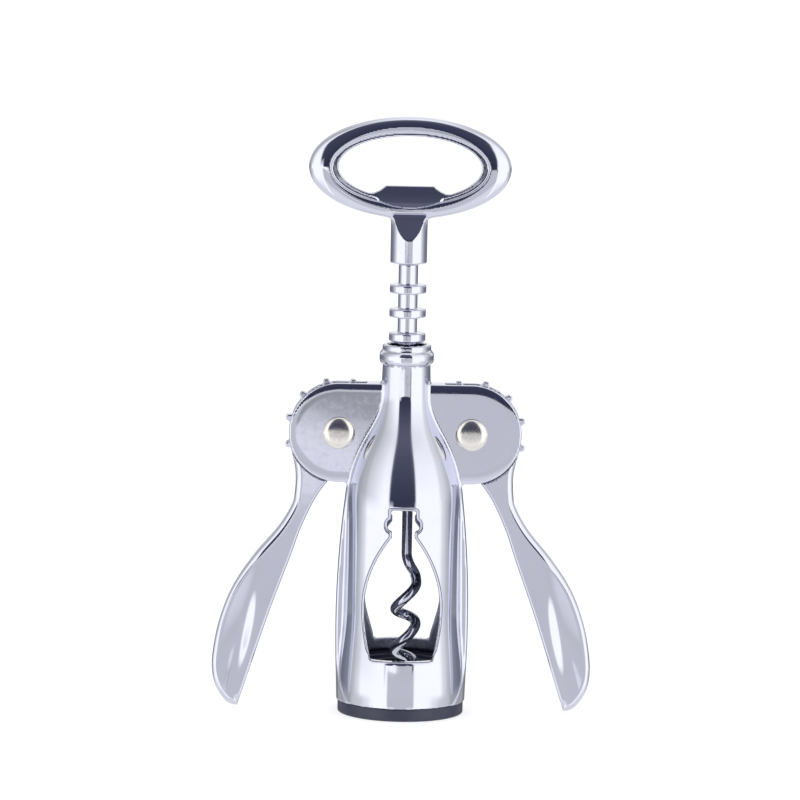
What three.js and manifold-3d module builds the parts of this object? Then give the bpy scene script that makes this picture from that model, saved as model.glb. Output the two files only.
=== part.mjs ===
import * as THREE from 'three';
import { mergeVertices } from 'three/addons/utils/BufferGeometryUtils.js';
import Module from 'manifold-3d';

// A wing corkscrew whose frame is cast in the shape of a bottle, in millimetres.
// +Z is up, the foot stands on Z = 0, the front faces -Y and the wings spread along X.
// The wings hang a little open, as they do when the corkscrew stands on a table.

const wasm = await Module();
wasm.setup();

// Fits
const slideGap = 0.3; // between pieces that move on each other
const fixedGap = 0.2; // between pieces that stay together
const overrun = 1; // how far a cut passes the face that it opens
const weld = 0.0001; // corners nearer than this are one

// Foot ring, a black moulding that lines the mouth of the bell
const socketRadius = 15.2; // takes the neck of a wine bottle, 29.5 mm across
const socketDepth = 13.5;
const linerWall = 0.75;
const footHeight = 3.7;
const footEdge = 0.45;
const footInset = 0.2; // inside the skirt of the bottle
const stopReach = 2.8; // how far the stop for the bottle's rim stands inwards
const stopThickness = 1.6;

// Frame casting: the bottle
const skirtWall = 2.8;
const skirtTop = 6;
const waistInset = 1.45; // how far the waist is inside the skirt
const waistHeight = 32;
const shoulderInset = 0.4; // how far the shoulder is inside the waist
const shoulderFoot = 62;
const shoulderTop = 95;
const wall = 1.9; // of the bell
const neckWall = 1.38;
const neckTaper = 0.29; // how much wider the neck is at its foot
const neckLength = 9.4;
const lipHeight = 3.6;
const lipProud = 0.85; // how far the lip is outside the rim
const rimWall = 1.52;
const rimHeight = 2.35;
const rimEdge = 0.4;

// Frame casting: the flanks, which stand proud of the bottle on both sides
const flankProud = 0.92; // how far the flank is outside the skirt
const flankHeight = 27;
const flankArcRadius = 322;
const flankTop = 70;
const flankFlareTop = 36;
const flankFootHalf = 10.8;

// Frame casting: the ears, two plates on each side that carry the wings
const pivotZ = 84.15;
const earRadius = 14.9;
const earThickness = 1.5;
const earEdge = 0.45;

// Frame casting: the window, itself the outline of a bottle
const windowSill = 17.9;
const windowSillHalf = 8.3;
const windowCornerRise = 1.4;
const windowCornerHalf = 9.3;
const windowBellyHeight = 33;
const windowBellyHalf = 11.2;
const windowNeckFoot = 54.9;
const windowNeckHalf = 3.35;
const windowNeckLength = 2;
const windowCollarHalf = 5.3;
const windowCollarLength = 3.4;
const windowLipHalf = 3.7;
const windowLipLength = 2.7;

// Rack: rings that the teeth of the wings run between
const ringPitch = 7.2;
const ringCount = 8;
const ringsAboveCount = 6; // from the pivot up to the top ring
const ringRadius = 5.43;
const ringThickness = 2.6;
const rackRadius = 2.9;
const rackFootLength = 2.4; // plain stretch under the lowest ring
const rackHeadLength = 6.05; // and above the top ring

// Worm, one length of wire with a straight shank
const wireRadius = 1.55;
const wormRadius = 3.05; // of the middle line of the wire
const wormPitch = 12.4;
const wormTurnHeight = 38.4; // where the wire reaches its full radius, at +X
const wormBlend = 6.2; // height over which it leaves the axis
const wormTip = 9.2;
const wormPoint = 4.5; // length of the sharpened end, along the wire
const collarRadius = 2.9;
const collarHeight = 2;

// Handle, with each rise taken from the foot of its stem
const stemRadius = 5.45;
const stemEdge = 0.4;
const shankDepth = 12.2; // of the blind bore that holds the shank
const facetFootRise = 6.2;
const facetTopRise = 15.2;
const facetHalf = 2.17;
const oval = { x: 30, z: 15.05 };
const ovalRise = 28.4;
const ovalThickness = 6.4;
const ovalRound = 1.45;
const ovalCrown = 2.3;
const ovalRim = { x: 6.45, z: 3.3 }; // width of the rim at its ends and at its top
const ledgeReach = { x: 2.35, z: 2.4 }; // how far the thin ledge stands into the hole
const ledgeThickness = 2.8;
const tongueRise = 23.1;
const tongueHalf = 7.25;
const tongueFootHalf = 11.8;
const tongueTipHalf = 1.1;
const tongueRootHalf = 2.6;
const stemFillet = { x: 3.6, z: 2.4 };
const handlePinRadius = 0.8;
const handlePinRise = 3.4;
const handlePinInset = 0.3;

// Wings
const toothCount = 12; // to a full turn, on the pitch of the rings
const firstTooth = -45; // degrees from the line to the rack, and upwards from there
const cutToothCount = 9;
const pitchLineRadius = 5.949; // where the teeth roll on the rings, from the rack's axis
const toothTipGap = 0.4; // from the tips of the teeth to the sleeve
const toothRootGap = 0.87; // from the rings to the roots
const toothTipPlay = 1.3; // beside a tooth, between two rings
const toothRootPlay = 0.45;
const gearThickness = 3.2;
const armThickness = 5.4;
const armEdge = 1;
const armEarGap = 0.5;
const armReach = 36.8; // furthest from the pivot, outwards
const armDrop = 83.1; // of the tip, below the pivot
const dishLength = 56;
const dishWidth = 15;
const dishDepth = 1.3;
const dishDome = 4;
const dishPlace = { x: 27, z: 62 }; // outwards and down from the pivot
const dishLean = 20.5; // degrees

// Rivets that the wings turn on
const rivetRadius = 2.5;
const rivetHeadRadius = 4.8;
const rivetHeadHeight = 1.7;
const rivetHeadEdge = 0.35;

// Worked out from the sizes above
const linerRadius = socketRadius + linerWall;
const stopRadius = socketRadius - stopReach;
const skirtRadius = linerRadius + fixedGap + skirtWall;
const footRadius = skirtRadius - footInset;
const waistRadius = skirtRadius - waistInset;
const shoulderRadius = waistRadius - shoulderInset;
const flankRadius = skirtRadius + flankProud;
const boreRadius = ringRadius + slideGap;
const neckRadius = boreRadius + neckWall;
const neckFootRadius = neckRadius + neckTaper;
const rimRadius = boreRadius + rimWall;
const lipRadius = rimRadius + lipProud;
const lipFoot = shoulderTop + neckLength;
const windowCornerHeight = windowSill + windowCornerRise;
const windowCollarFoot = windowNeckFoot + windowNeckLength;
const windowLipFoot = windowCollarFoot + windowCollarLength;
const windowTop = windowLipFoot + windowLipLength;
const pivotX = pitchLineRadius + toothCount * ringPitch / (2 * Math.PI);
const gearTipRadius = pivotX - rackRadius - toothTipGap;
const gearRootRadius = pivotX - ringRadius - toothRootGap;
const toothTipWidth = ringPitch - ringThickness - 2 * toothTipPlay;
const toothRootWidth = ringPitch - ringThickness - 2 * toothRootPlay;
const slotWidth = gearThickness + 2 * slideGap;
const earsWidth = slotWidth + 2 * earThickness;
const lipTop = lipFoot + lipHeight;
const rimTop = lipTop + rimHeight;
const topRing = pivotZ + ringsAboveCount * ringPitch;
const rackTop = topRing + ringThickness / 2 + rackHeadLength;
const handleFoot = rackTop + slideGap;
const socketTop = handleFoot + shankDepth;
const facetFoot = handleFoot + facetFootRise;
const facetTop = handleFoot + facetTopRise;
const ovalHeight = handleFoot + ovalRise;
const ledge = { x: oval.x - ovalRim.x, z: oval.z - ovalRim.z };
const hole = { x: ledge.x - ledgeReach.x, z: ledge.z - ledgeReach.z };
const tongueTop = handleFoot + tongueRise;
const handlePinHeight = handleFoot + handlePinRise;
const wormTop = socketTop - fixedGap;
const wormFoot = wormTip + wormPoint * wormPitch / Math.hypot(wormPitch, 2 * Math.PI * wormRadius);
const rackFoot = topRing - (ringCount - 1) * ringPitch - ringThickness / 2 - rackFootLength;

const finishes = {
  casting: { color: 0xd6d8e0, roughness: 0.16, metalness: 1 },
  steel: { color: 0xb9bcc6, roughness: 0.2, metalness: 1 },
  nickel: { color: 0xd8d2c2, roughness: 0.24, metalness: 1 },
  moulding: { color: 0x2a2b31, roughness: 0.5, metalness: 0 },
};

function toSolid(geometry) {
  const bare = geometry.clone();
  bare.deleteAttribute('normal');
  bare.deleteAttribute('uv');
  const welded = mergeVertices(bare, weld);
  const index = Array.from(welded.index.array);
  const triangles = [];
  for (let i = 0; i < index.length; i += 3) {
    const [a, b, c] = index.slice(i, i + 3);
    if (a !== b && b !== c && c !== a) triangles.push(a, b, c);
  }
  return new wasm.Manifold(new wasm.Mesh({
    numProp: 3,
    vertProperties: new Float32Array(welded.attributes.position.array),
    triVerts: new Uint32Array(triangles),
  }));
}

function toGeometry(solid) {
  const mesh = solid.getMesh();
  const geometry = new THREE.BufferGeometry();
  geometry.setAttribute('position', new THREE.BufferAttribute(new Float32Array(mesh.vertProperties), 3));
  geometry.setIndex(new THREE.BufferAttribute(new Uint32Array(mesh.triVerts), 1));
  geometry.computeVertexNormals();
  return geometry;
}

// A closed profile of radius and height, turned about the Z axis.
function turned(points, sides) {
  const lathe = new THREE.LatheGeometry(points, sides);
  lathe.rotateX(Math.PI / 2);
  return toSolid(lathe);
}

// An outline in X and Z as a plate, centred on Y = 0.
function plate(outline, thickness, segments, round = 0, crown = round, steps = 1) {
  const geometry = new THREE.ExtrudeGeometry(outline, {
    depth: thickness - 2 * crown,
    curveSegments: segments,
    bevelEnabled: round > 0,
    bevelThickness: crown,
    bevelSize: round,
    bevelOffset: -round,
    bevelSegments: steps,
  });
  geometry.rotateX(Math.PI / 2);
  geometry.translate(0, thickness / 2 - crown, 0);
  return toSolid(geometry);
}

// An outline in Y and Z as a bar, centred on X = 0.
function bar(outline, length, segments) {
  const geometry = new THREE.ExtrudeGeometry(outline, {
    depth: length,
    curveSegments: segments,
    bevelEnabled: false,
  });
  geometry.rotateX(Math.PI / 2);
  geometry.translate(0, length / 2, 0);
  geometry.rotateZ(Math.PI / 2);
  return toSolid(geometry);
}

function rod(radius, length, sides) {
  return new THREE.CylinderGeometry(radius, radius, length, sides);
}

function disc(x, z, radius) {
  const outline = new THREE.Shape();
  outline.absarc(x, z, radius, 0, 2 * Math.PI);
  return outline;
}

function closedProfile(path, segments) {
  const points = path.getPoints(segments);
  points.push(points[0].clone());
  return points;
}

// The shoulder of a bottle, from where the path stands up to its top radius.
// Each pair is the share of the fall in radius that is left, and of the height climbed.
const shoulderShares = [[1.03, 0.606], [0.041, 0.682]];

function addShoulder(path, lowRadius, highRadius) {
  const rise = shoulderTop - shoulderFoot;
  const fall = lowRadius - highRadius;
  const [first, second] = shoulderShares.map(([left, climbed]) => (
    [highRadius + left * fall, shoulderFoot + climbed * rise]
  ));
  path.bezierCurveTo(...first, ...second, highRadius, shoulderTop);
}

function bottleBody() {
  const waistPull = (waistHeight - skirtTop) / 3;
  const path = new THREE.Path();
  path.moveTo(0, footHeight);
  path.lineTo(skirtRadius, footHeight);
  path.lineTo(skirtRadius, skirtTop);
  path.bezierCurveTo(
    skirtRadius, skirtTop + waistPull,
    waistRadius, waistHeight - waistPull,
    waistRadius, waistHeight,
  );
  path.lineTo(shoulderRadius, shoulderFoot);
  addShoulder(path, shoulderRadius, neckFootRadius);
  path.lineTo(neckRadius, lipFoot);
  path.bezierCurveTo(
    lipRadius, lipFoot,
    lipRadius, lipFoot,
    lipRadius, lipFoot + lipHeight / 2,
  );
  path.bezierCurveTo(lipRadius, lipTop, lipRadius, lipTop, rimRadius, lipTop);
  path.lineTo(rimRadius, rimTop - rimEdge);
  path.lineTo(rimRadius - rimEdge, rimTop);
  path.lineTo(0, rimTop);
  return turned(closedProfile(path, 5), 44);
}

// Inside the bottle: a bell that takes the foot ring, then the neck that guides the rack.
function bottleHollow() {
  const linerTop = socketDepth + stopThickness + slideGap;
  const bellRadius = shoulderRadius - wall;
  const mouthRadius = linerRadius + fixedGap;
  const path = new THREE.Path();
  path.moveTo(0, footHeight - overrun);
  path.lineTo(mouthRadius, footHeight - overrun);
  path.lineTo(mouthRadius, linerTop);
  path.lineTo(bellRadius, linerTop + mouthRadius - bellRadius);
  path.lineTo(bellRadius, shoulderFoot);
  addShoulder(path, bellRadius, boreRadius);
  path.lineTo(boreRadius, rimTop + overrun);
  path.lineTo(0, rimTop + overrun);
  return turned(closedProfile(path, 4), 32);
}

function flanks() {
  const centre = flankRadius - flankArcRadius;
  const angleAt = (height) => Math.asin((height - flankHeight) / flankArcRadius);
  const path = new THREE.Path();
  path.moveTo(0, footHeight);
  path.absarc(centre, flankHeight, flankArcRadius, angleAt(footHeight), angleAt(flankTop));
  path.lineTo(0, flankTop);
  const barrel = turned(closedProfile(path, 5), 44);

  const topHalf = earsWidth / 2;
  const bend = (flankFlareTop + footHeight) / 2;
  const section = new THREE.Shape();
  section.moveTo(-topHalf, flankTop);
  section.lineTo(-topHalf, flankFlareTop);
  section.quadraticCurveTo(-topHalf, bend, -flankFootHalf, footHeight);
  section.lineTo(flankFootHalf, footHeight);
  section.quadraticCurveTo(topHalf, bend, topHalf, flankFlareTop);
  section.lineTo(topHalf, flankTop);
  return barrel.intersect(bar(section, 2 * (flankRadius + overrun), 6));
}

function ears() {
  const outline = new THREE.Shape();
  outline.moveTo(-pivotX, pivotZ - earRadius);
  outline.lineTo(pivotX, pivotZ - earRadius);
  outline.absarc(pivotX, pivotZ, earRadius, -Math.PI / 2, Math.PI / 2);
  outline.lineTo(-pivotX, pivotZ + earRadius);
  outline.absarc(-pivotX, pivotZ, earRadius, Math.PI / 2, 3 * Math.PI / 2);
  return plate(outline, earsWidth, 12, earEdge);
}

// How the window's sides bend, in shares of the way out from the axis and up.
const windowSideShares = { corner: [0.47, 0.27], belly: [1, 0.635] };
const windowShoulderShares = { belly: [1, 0.434], neck: [0.465, 0.785] };

function windowCut() {
  const side = (halves, heights, [out, up]) => [
    halves[0] + out * (halves[1] - halves[0]),
    heights[0] + up * (heights[1] - heights[0]),
  ];
  const sideHalves = [windowCornerHalf, windowBellyHalf];
  const sideHeights = [windowCornerHeight, windowBellyHeight];
  const shoulderHalves = [windowNeckHalf, windowBellyHalf];
  const shoulderHeights = [windowBellyHeight, windowNeckFoot];
  const outline = new THREE.Shape();
  outline.moveTo(0, windowSill);
  outline.lineTo(windowSillHalf, windowSill);
  outline.quadraticCurveTo(windowCornerHalf, windowSill, windowCornerHalf, windowCornerHeight);
  outline.bezierCurveTo(
    ...side(sideHalves, sideHeights, windowSideShares.corner),
    ...side(sideHalves, sideHeights, windowSideShares.belly),
    windowBellyHalf, windowBellyHeight,
  );
  outline.bezierCurveTo(
    ...side(shoulderHalves, shoulderHeights, windowShoulderShares.belly),
    ...side(shoulderHalves, shoulderHeights, windowShoulderShares.neck),
    windowNeckHalf, windowNeckFoot,
  );
  outline.lineTo(windowNeckHalf, windowCollarFoot);
  outline.bezierCurveTo(
    windowCollarHalf, windowCollarFoot,
    windowCollarHalf, windowLipFoot,
    windowLipHalf, windowLipFoot,
  );
  outline.lineTo(windowLipHalf, windowTop);
  const right = outline.getPoints(6);
  const left = right.slice(1).reverse().map((point) => new THREE.Vector2(-point.x, point.y));
  return plate(new THREE.Shape([...right.slice(1), ...left]), 2 * (flankRadius + overrun), 6);
}

function bottleFrame() {
  let solid = bottleBody().add(flanks()).add(ears()).subtract(bottleHollow()).subtract(windowCut());
  for (const side of [-1, 1]) {
    const slot = plate(disc(side * pivotX, pivotZ, gearTipRadius + slideGap), slotWidth, 20);
    const rivetHole = plate(disc(side * pivotX, pivotZ, rivetRadius + fixedGap), earsWidth + overrun, 10);
    solid = solid.subtract(slot).subtract(rivetHole);
  }
  return toGeometry(solid);
}

function footRing() {
  const path = new THREE.Path();
  const stopTop = socketDepth + stopThickness;
  path.moveTo(socketRadius + footEdge, 0);
  path.lineTo(footRadius - footEdge, 0);
  path.lineTo(footRadius, footEdge);
  path.lineTo(footRadius, footHeight);
  path.lineTo(linerRadius, footHeight);
  path.lineTo(linerRadius, stopTop);
  path.lineTo(stopRadius, stopTop);
  path.lineTo(stopRadius, socketDepth);
  path.lineTo(socketRadius, socketDepth);
  path.lineTo(socketRadius, footEdge);
  return toGeometry(turned(closedProfile(path, 1), 36));
}

function rackSleeve() {
  const path = new THREE.Path();
  path.moveTo(wireRadius + slideGap, rackFoot);
  path.lineTo(rackRadius, rackFoot);
  for (let i = ringCount - 1; i >= 0; i -= 1) {
    const low = topRing - i * ringPitch - ringThickness / 2;
    const high = low + ringThickness;
    path.lineTo(rackRadius, low);
    path.lineTo(ringRadius, low);
    path.lineTo(ringRadius, high);
    path.lineTo(rackRadius, high);
  }
  path.lineTo(rackRadius, rackTop);
  path.lineTo(wireRadius + slideGap, rackTop);
  return toGeometry(turned(closedProfile(path, 1), 20));
}

// The line of the wire: straight down the axis, then a right-handed helix.
class WormLine extends THREE.Curve {
  getPoint(share) {
    const height = wormTop - share * (wormTop - wormFoot);
    const above = Math.max(0, height - wormTurnHeight);
    const spread = 1 - THREE.MathUtils.smoothstep(above, 0, wormBlend);
    const angle = 2 * Math.PI * (height - wormTurnHeight) / wormPitch;
    const swing = above > 0 ? spread : Math.cos(angle);
    return new THREE.Vector3(wormRadius * swing, wormRadius * spread * Math.sin(angle), height);
  }
}

// The same line with most of its steps where the wire winds.
const shankStepShare = 0.05;

class WormWire extends THREE.Curve {
  constructor() {
    super();
    this.line = new WormLine();
    this.straight = (wormTop - wormTurnHeight - wormBlend) / (wormTop - wormFoot);
  }

  getPoint(share) {
    if (share < shankStepShare) return this.line.getPoint(this.straight * share / shankStepShare);
    const wound = (share - shankStepShare) / (1 - shankStepShare);
    return this.line.getPoint(this.straight + wound * (1 - this.straight));
  }

  getPointAt(share) {
    return this.getPoint(share);
  }

  getTangentAt(share) {
    return this.getTangent(share);
  }
}

function worm() {
  const wire = new WormWire();
  const section = new THREE.Shape();
  section.absarc(0, 0, wireRadius, 0, 2 * Math.PI);
  const tube = new THREE.ExtrudeGeometry(section, { extrudePath: wire, steps: 68, curveSegments: 4 });

  const tangent = wire.getTangent(1);
  const point = new THREE.CylinderGeometry(wireRadius / 8, wireRadius, wormPoint, 8);
  point.translate(0, wormPoint / 2 - wireRadius / 8, 0);
  point.applyQuaternion(new THREE.Quaternion().setFromUnitVectors(new THREE.Vector3(0, 1, 0), tangent));
  const end = wire.getPoint(1);
  point.translate(end.x, end.y, end.z);

  const pinHole = rod(handlePinRadius + fixedGap / 2, 2 * wireRadius + overrun, 16);
  pinHole.rotateZ(Math.PI / 2);
  pinHole.translate(0, 0, handlePinHeight);
  return toGeometry(toSolid(tube).add(toSolid(point)).subtract(toSolid(pinHole)));
}

function shankCollar() {
  const top = rackFoot - slideGap;
  const path = new THREE.Path();
  path.moveTo(wireRadius + fixedGap / 2, top - collarHeight);
  path.lineTo(collarRadius, top - collarHeight);
  path.lineTo(collarRadius, top);
  path.lineTo(wireRadius + fixedGap / 2, top);
  return toGeometry(turned(closedProfile(path, 1), 28));
}

function handleRing() {
  const outline = new THREE.Shape();
  outline.absellipse(0, ovalHeight, oval.x, oval.z, 0, 2 * Math.PI);
  const inside = new THREE.Path();
  inside.absellipse(0, ovalHeight, ledge.x, ledge.z, 0, 2 * Math.PI, true);
  outline.holes.push(inside);
  const band = plate(outline, ovalThickness, 28, ovalRound, ovalCrown, 2);

  const shelf = new THREE.Shape();
  shelf.absellipse(0, ovalHeight, ledge.x + ovalRound, ledge.z + ovalRound, 0, 2 * Math.PI);
  const opening = new THREE.Path();
  opening.absellipse(0, ovalHeight, hole.x, hole.z, 0, 2 * Math.PI, true);
  shelf.holes.push(opening);
  return band.add(plate(shelf, ledgeThickness, 28));
}

// The opener: a wedge that rises from the lower rim of the oval into its hole.
function tongue() {
  const root = ovalHeight - ledge.z - ovalRound / 2;
  const footHeightAt = ovalHeight - hole.z * Math.sqrt(1 - (tongueFootHalf / hole.x) ** 2);
  const outline = new THREE.Shape();
  outline.moveTo(-stemRadius, root);
  outline.lineTo(stemRadius, root);
  outline.lineTo(tongueFootHalf, footHeightAt - ledgeThickness);
  outline.lineTo(tongueFootHalf, footHeightAt);
  outline.quadraticCurveTo(tongueHalf + ovalRound, footHeightAt, tongueHalf, tongueTop);
  outline.lineTo(-tongueHalf, tongueTop);
  outline.quadraticCurveTo(-tongueHalf - ovalRound, footHeightAt, -tongueFootHalf, footHeightAt);
  outline.lineTo(-tongueFootHalf, footHeightAt - ledgeThickness);
  const wedge = new THREE.Shape();
  wedge.moveTo(-tongueRootHalf, root - overrun);
  wedge.lineTo(tongueRootHalf, root - overrun);
  wedge.lineTo(tongueTipHalf, tongueTop + overrun);
  wedge.lineTo(-tongueTipHalf, tongueTop + overrun);
  return plate(outline, 2 * tongueRootHalf, 6).intersect(bar(wedge, 2 * oval.x, 1));
}

// The stem is round below; in front and behind a facet thins it to the oval.
function stem() {
  const top = ovalHeight - ledge.z - ovalRound / 4;
  const profile = new THREE.Path();
  profile.moveTo(0, handleFoot);
  profile.lineTo(stemRadius - stemEdge, handleFoot);
  profile.lineTo(stemRadius, handleFoot + stemEdge);
  profile.lineTo(stemRadius, top);
  profile.lineTo(0, top);
  const round = turned(closedProfile(profile, 1), 32);

  const wedge = new THREE.Shape();
  wedge.moveTo(-stemRadius - overrun, handleFoot - overrun);
  wedge.lineTo(stemRadius + overrun, handleFoot - overrun);
  wedge.lineTo(stemRadius + overrun, facetFoot);
  wedge.lineTo(stemRadius, facetFoot);
  wedge.lineTo(facetHalf, facetTop);
  wedge.lineTo(facetHalf, top + overrun);
  wedge.lineTo(-facetHalf, top + overrun);
  wedge.lineTo(-facetHalf, facetTop);
  wedge.lineTo(-stemRadius, facetFoot);
  wedge.lineTo(-stemRadius - overrun, facetFoot);

  const corner = ovalHeight - oval.z * Math.sqrt(1 - ((stemRadius + stemFillet.x) / oval.x) ** 2);
  const web = new THREE.Shape();
  web.moveTo(-stemRadius, corner - stemFillet.z);
  web.lineTo(stemRadius, corner - stemFillet.z);
  web.quadraticCurveTo(stemRadius, corner - ovalRound / 2, stemRadius + stemFillet.x, corner);
  web.lineTo(stemRadius + stemFillet.x, top);
  web.lineTo(-stemRadius - stemFillet.x, top);
  web.lineTo(-stemRadius - stemFillet.x, corner);
  web.quadraticCurveTo(-stemRadius, corner - ovalRound / 2, -stemRadius, corner - stemFillet.z);
  return round.intersect(bar(wedge, 2 * oval.x, 1)).add(plate(web, 2 * facetHalf, 8));
}

function handle() {
  const bore = rod(wireRadius + fixedGap, socketTop - handleFoot + overrun, 16);
  bore.rotateX(Math.PI / 2);
  bore.translate(0, 0, (socketTop + handleFoot - overrun) / 2);
  const pinHole = rod(handlePinRadius + fixedGap / 2, 2 * (stemRadius + overrun), 16);
  pinHole.rotateZ(Math.PI / 2);
  pinHole.translate(0, 0, handlePinHeight);
  const solid = handleRing().add(tongue()).add(stem());
  return toGeometry(solid.subtract(toSolid(bore)).subtract(toSolid(pinHole)));
}

function handlePin() {
  const pin = rod(handlePinRadius, 2 * (stemRadius - handlePinInset), 16);
  pin.rotateZ(Math.PI / 2);
  pin.translate(0, 0, handlePinHeight);
  return toGeometry(toSolid(pin));
}

// Places along the wing in shares of its reach outwards and its drop, from the pivot.
const outerEdgeShares = [
  [0.404, 0.030], [0.381, 0.075], [0.356, 0.118], [0.345, 0.160], [0.348, 0.213], [0.372, 0.265],
  [0.482, 0.349], [0.682, 0.457], [0.841, 0.566], [0.940, 0.680], [0.990, 0.790], [0.999, 0.873],
  [0.962, 0.937], [0.880, 0.987],
];
const innerEdgeShares = [
  [0.775, 0.980], [0.553, 0.674], [0.378, 0.457], [0.294, 0.349], [0.181, 0.241], [0.067, 0.168],
];
const armTipShares = [0.800, 1];
const armRootShares = [[-0.03, 0.06], [0.22, 0.03]];
const dishOuterShares = [
  [0.458, 0.452], [0.606, 0.487], [0.730, 0.545], [0.849, 0.636], [0.916, 0.732], [0.941, 0.818],
  [0.925, 0.900], [0.860, 0.958],
];
const dishInnerShares = [[0.798, 0.966], [0.660, 0.782], [0.523, 0.590]];

function wingPlace(side) {
  return ([out, down]) => (
    new THREE.Vector2(side * (pivotX + out * armReach), pivotZ - down * armDrop)
  );
}

function armOutline(side) {
  const at = wingPlace(side);
  const outline = new THREE.Shape();
  const [innerRoot, outerRoot] = armRootShares.map(at);
  outline.moveTo(outerRoot.x, outerRoot.y);
  const outer = outerEdgeShares.map(at);
  outline.lineTo(outer[0].x, outer[0].y);
  outline.splineThru([...outer.slice(1), at(armTipShares)]);
  const inner = innerEdgeShares.map(at);
  outline.lineTo(inner[0].x, inner[0].y);
  outline.splineThru(inner.slice(1));
  outline.lineTo(innerRoot.x, innerRoot.y);
  return outline;
}

function dishOutline(side) {
  const outer = dishOuterShares.map(wingPlace(side));
  const inner = dishInnerShares.map(wingPlace(side));
  const outline = new THREE.Shape();
  outline.moveTo(outer[0].x, outer[0].y);
  outline.splineThru(outer.slice(1));
  inner.forEach((point) => outline.lineTo(point.x, point.y));
  return outline;
}

// The toothed head: plain where the arm leaves it, teeth everywhere else.
function gearOutline(side) {
  const place = (radius, angle) => new THREE.Vector2(
    side * (pivotX - radius * Math.cos(angle)),
    pivotZ + radius * Math.sin(angle),
  );
  const points = [];
  const step = 2 * Math.PI / toothCount;
  const first = THREE.MathUtils.degToRad(firstTooth);
  for (let i = 0; i < toothCount; i += 1) {
    const angle = first + i * step;
    const rootHalf = toothRootWidth / 2 / gearRootRadius;
    if (i < cutToothCount) {
      const tipHalf = toothTipWidth / 2 / gearTipRadius;
      const edge = toothTipWidth / 4;
      points.push(place(gearRootRadius, angle - rootHalf));
      points.push(place(gearTipRadius - edge, angle - tipHalf));
      points.push(place(gearTipRadius, angle - tipHalf / 2));
      points.push(place(gearTipRadius, angle + tipHalf / 2));
      points.push(place(gearTipRadius - edge, angle + tipHalf));
      points.push(place(gearRootRadius, angle + rootHalf));
    } else {
      points.push(place(gearRootRadius, angle - rootHalf));
      points.push(place(gearRootRadius, angle + rootHalf));
    }
    points.push(place(gearRootRadius, angle + step / 2));
  }
  return new THREE.Shape(points);
}

function dish(side, face) {
  const rise = dishDome - dishDepth;
  const spread = Math.sqrt(1 - (rise / dishDome) ** 2);
  const cutter = new THREE.SphereGeometry(1, 22, 12);
  cutter.scale(dishWidth / 2 / spread, dishDome, dishLength / 2 / spread);
  cutter.rotateY(-side * THREE.MathUtils.degToRad(dishLean));
  cutter.translate(
    side * (pivotX + dishPlace.x),
    face * (armThickness / 2 + rise),
    pivotZ - dishPlace.z,
  );
  return toSolid(cutter).intersect(plate(dishOutline(side), 2 * armThickness, 2));
}

function wing(side) {
  const arm = armOutline(side);
  const earSweep = plate(disc(side * pivotX, pivotZ, earRadius + armEarGap), armThickness + overrun, 20);
  const thick = plate(arm, armThickness, 2, armEdge, armEdge, 2).subtract(earSweep);
  const rivetHole = plate(disc(side * pivotX, pivotZ, rivetRadius + slideGap), armThickness + overrun, 10);
  let solid = plate(gearOutline(side), gearThickness, 1).add(plate(arm, gearThickness, 2)).add(thick);
  for (const face of [-1, 1]) solid = solid.subtract(dish(side, face));
  return toGeometry(solid.subtract(rivetHole));
}

function rivet(side) {
  const seat = earsWidth / 2 + fixedGap;
  const domeDepth = rivetHeadHeight - rivetHeadEdge;
  const domeRadius = (rivetHeadRadius ** 2 + domeDepth ** 2) / (2 * domeDepth);
  const domeCentre = seat + rivetHeadHeight - domeRadius;
  const sweep = Math.asin(rivetHeadRadius / domeRadius);
  const path = new THREE.Path();
  path.moveTo(0, -seat - rivetHeadHeight);
  path.absarc(0, -domeCentre, domeRadius, -Math.PI / 2, -Math.PI / 2 + sweep);
  path.lineTo(rivetHeadRadius, -seat);
  path.lineTo(rivetRadius, -seat);
  path.lineTo(rivetRadius, seat);
  path.lineTo(rivetHeadRadius, seat);
  path.absarc(0, domeCentre, domeRadius, Math.PI / 2 - sweep, Math.PI / 2);
  const lathe = new THREE.LatheGeometry(path.getPoints(3), 18);
  lathe.translate(side * pivotX, 0, pivotZ);
  return toGeometry(toSolid(lathe));
}

function piece(name, geometry, finish) {
  const mesh = new THREE.Mesh(geometry, new THREE.MeshStandardMaterial(finishes[finish]));
  mesh.name = name;
  return mesh;
}

const frameGroup = new THREE.Group();
frameGroup.add(
  piece('bottle_frame', bottleFrame(), 'casting'),
  piece('foot_ring', footRing(), 'moulding'),
  piece('left_rivet', rivet(-1), 'nickel'),
  piece('right_rivet', rivet(1), 'nickel'),
);

const spindleGroup = new THREE.Group();
spindleGroup.add(
  piece('handle', handle(), 'casting'),
  piece('handle_pin', handlePin(), 'steel'),
  piece('worm', worm(), 'steel'),
  piece('shank_collar', shankCollar(), 'steel'),
);

const corkscrew = new THREE.Group();
corkscrew.add(
  frameGroup,
  spindleGroup,
  piece('rack_sleeve', rackSleeve(), 'casting'),
  piece('left_wing', wing(-1), 'casting'),
  piece('right_wing', wing(1), 'casting'),
);

export default corkscrew;
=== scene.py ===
import math
import bmesh
import bpy
import numpy as np
from mathutils import Matrix, Vector


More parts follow.
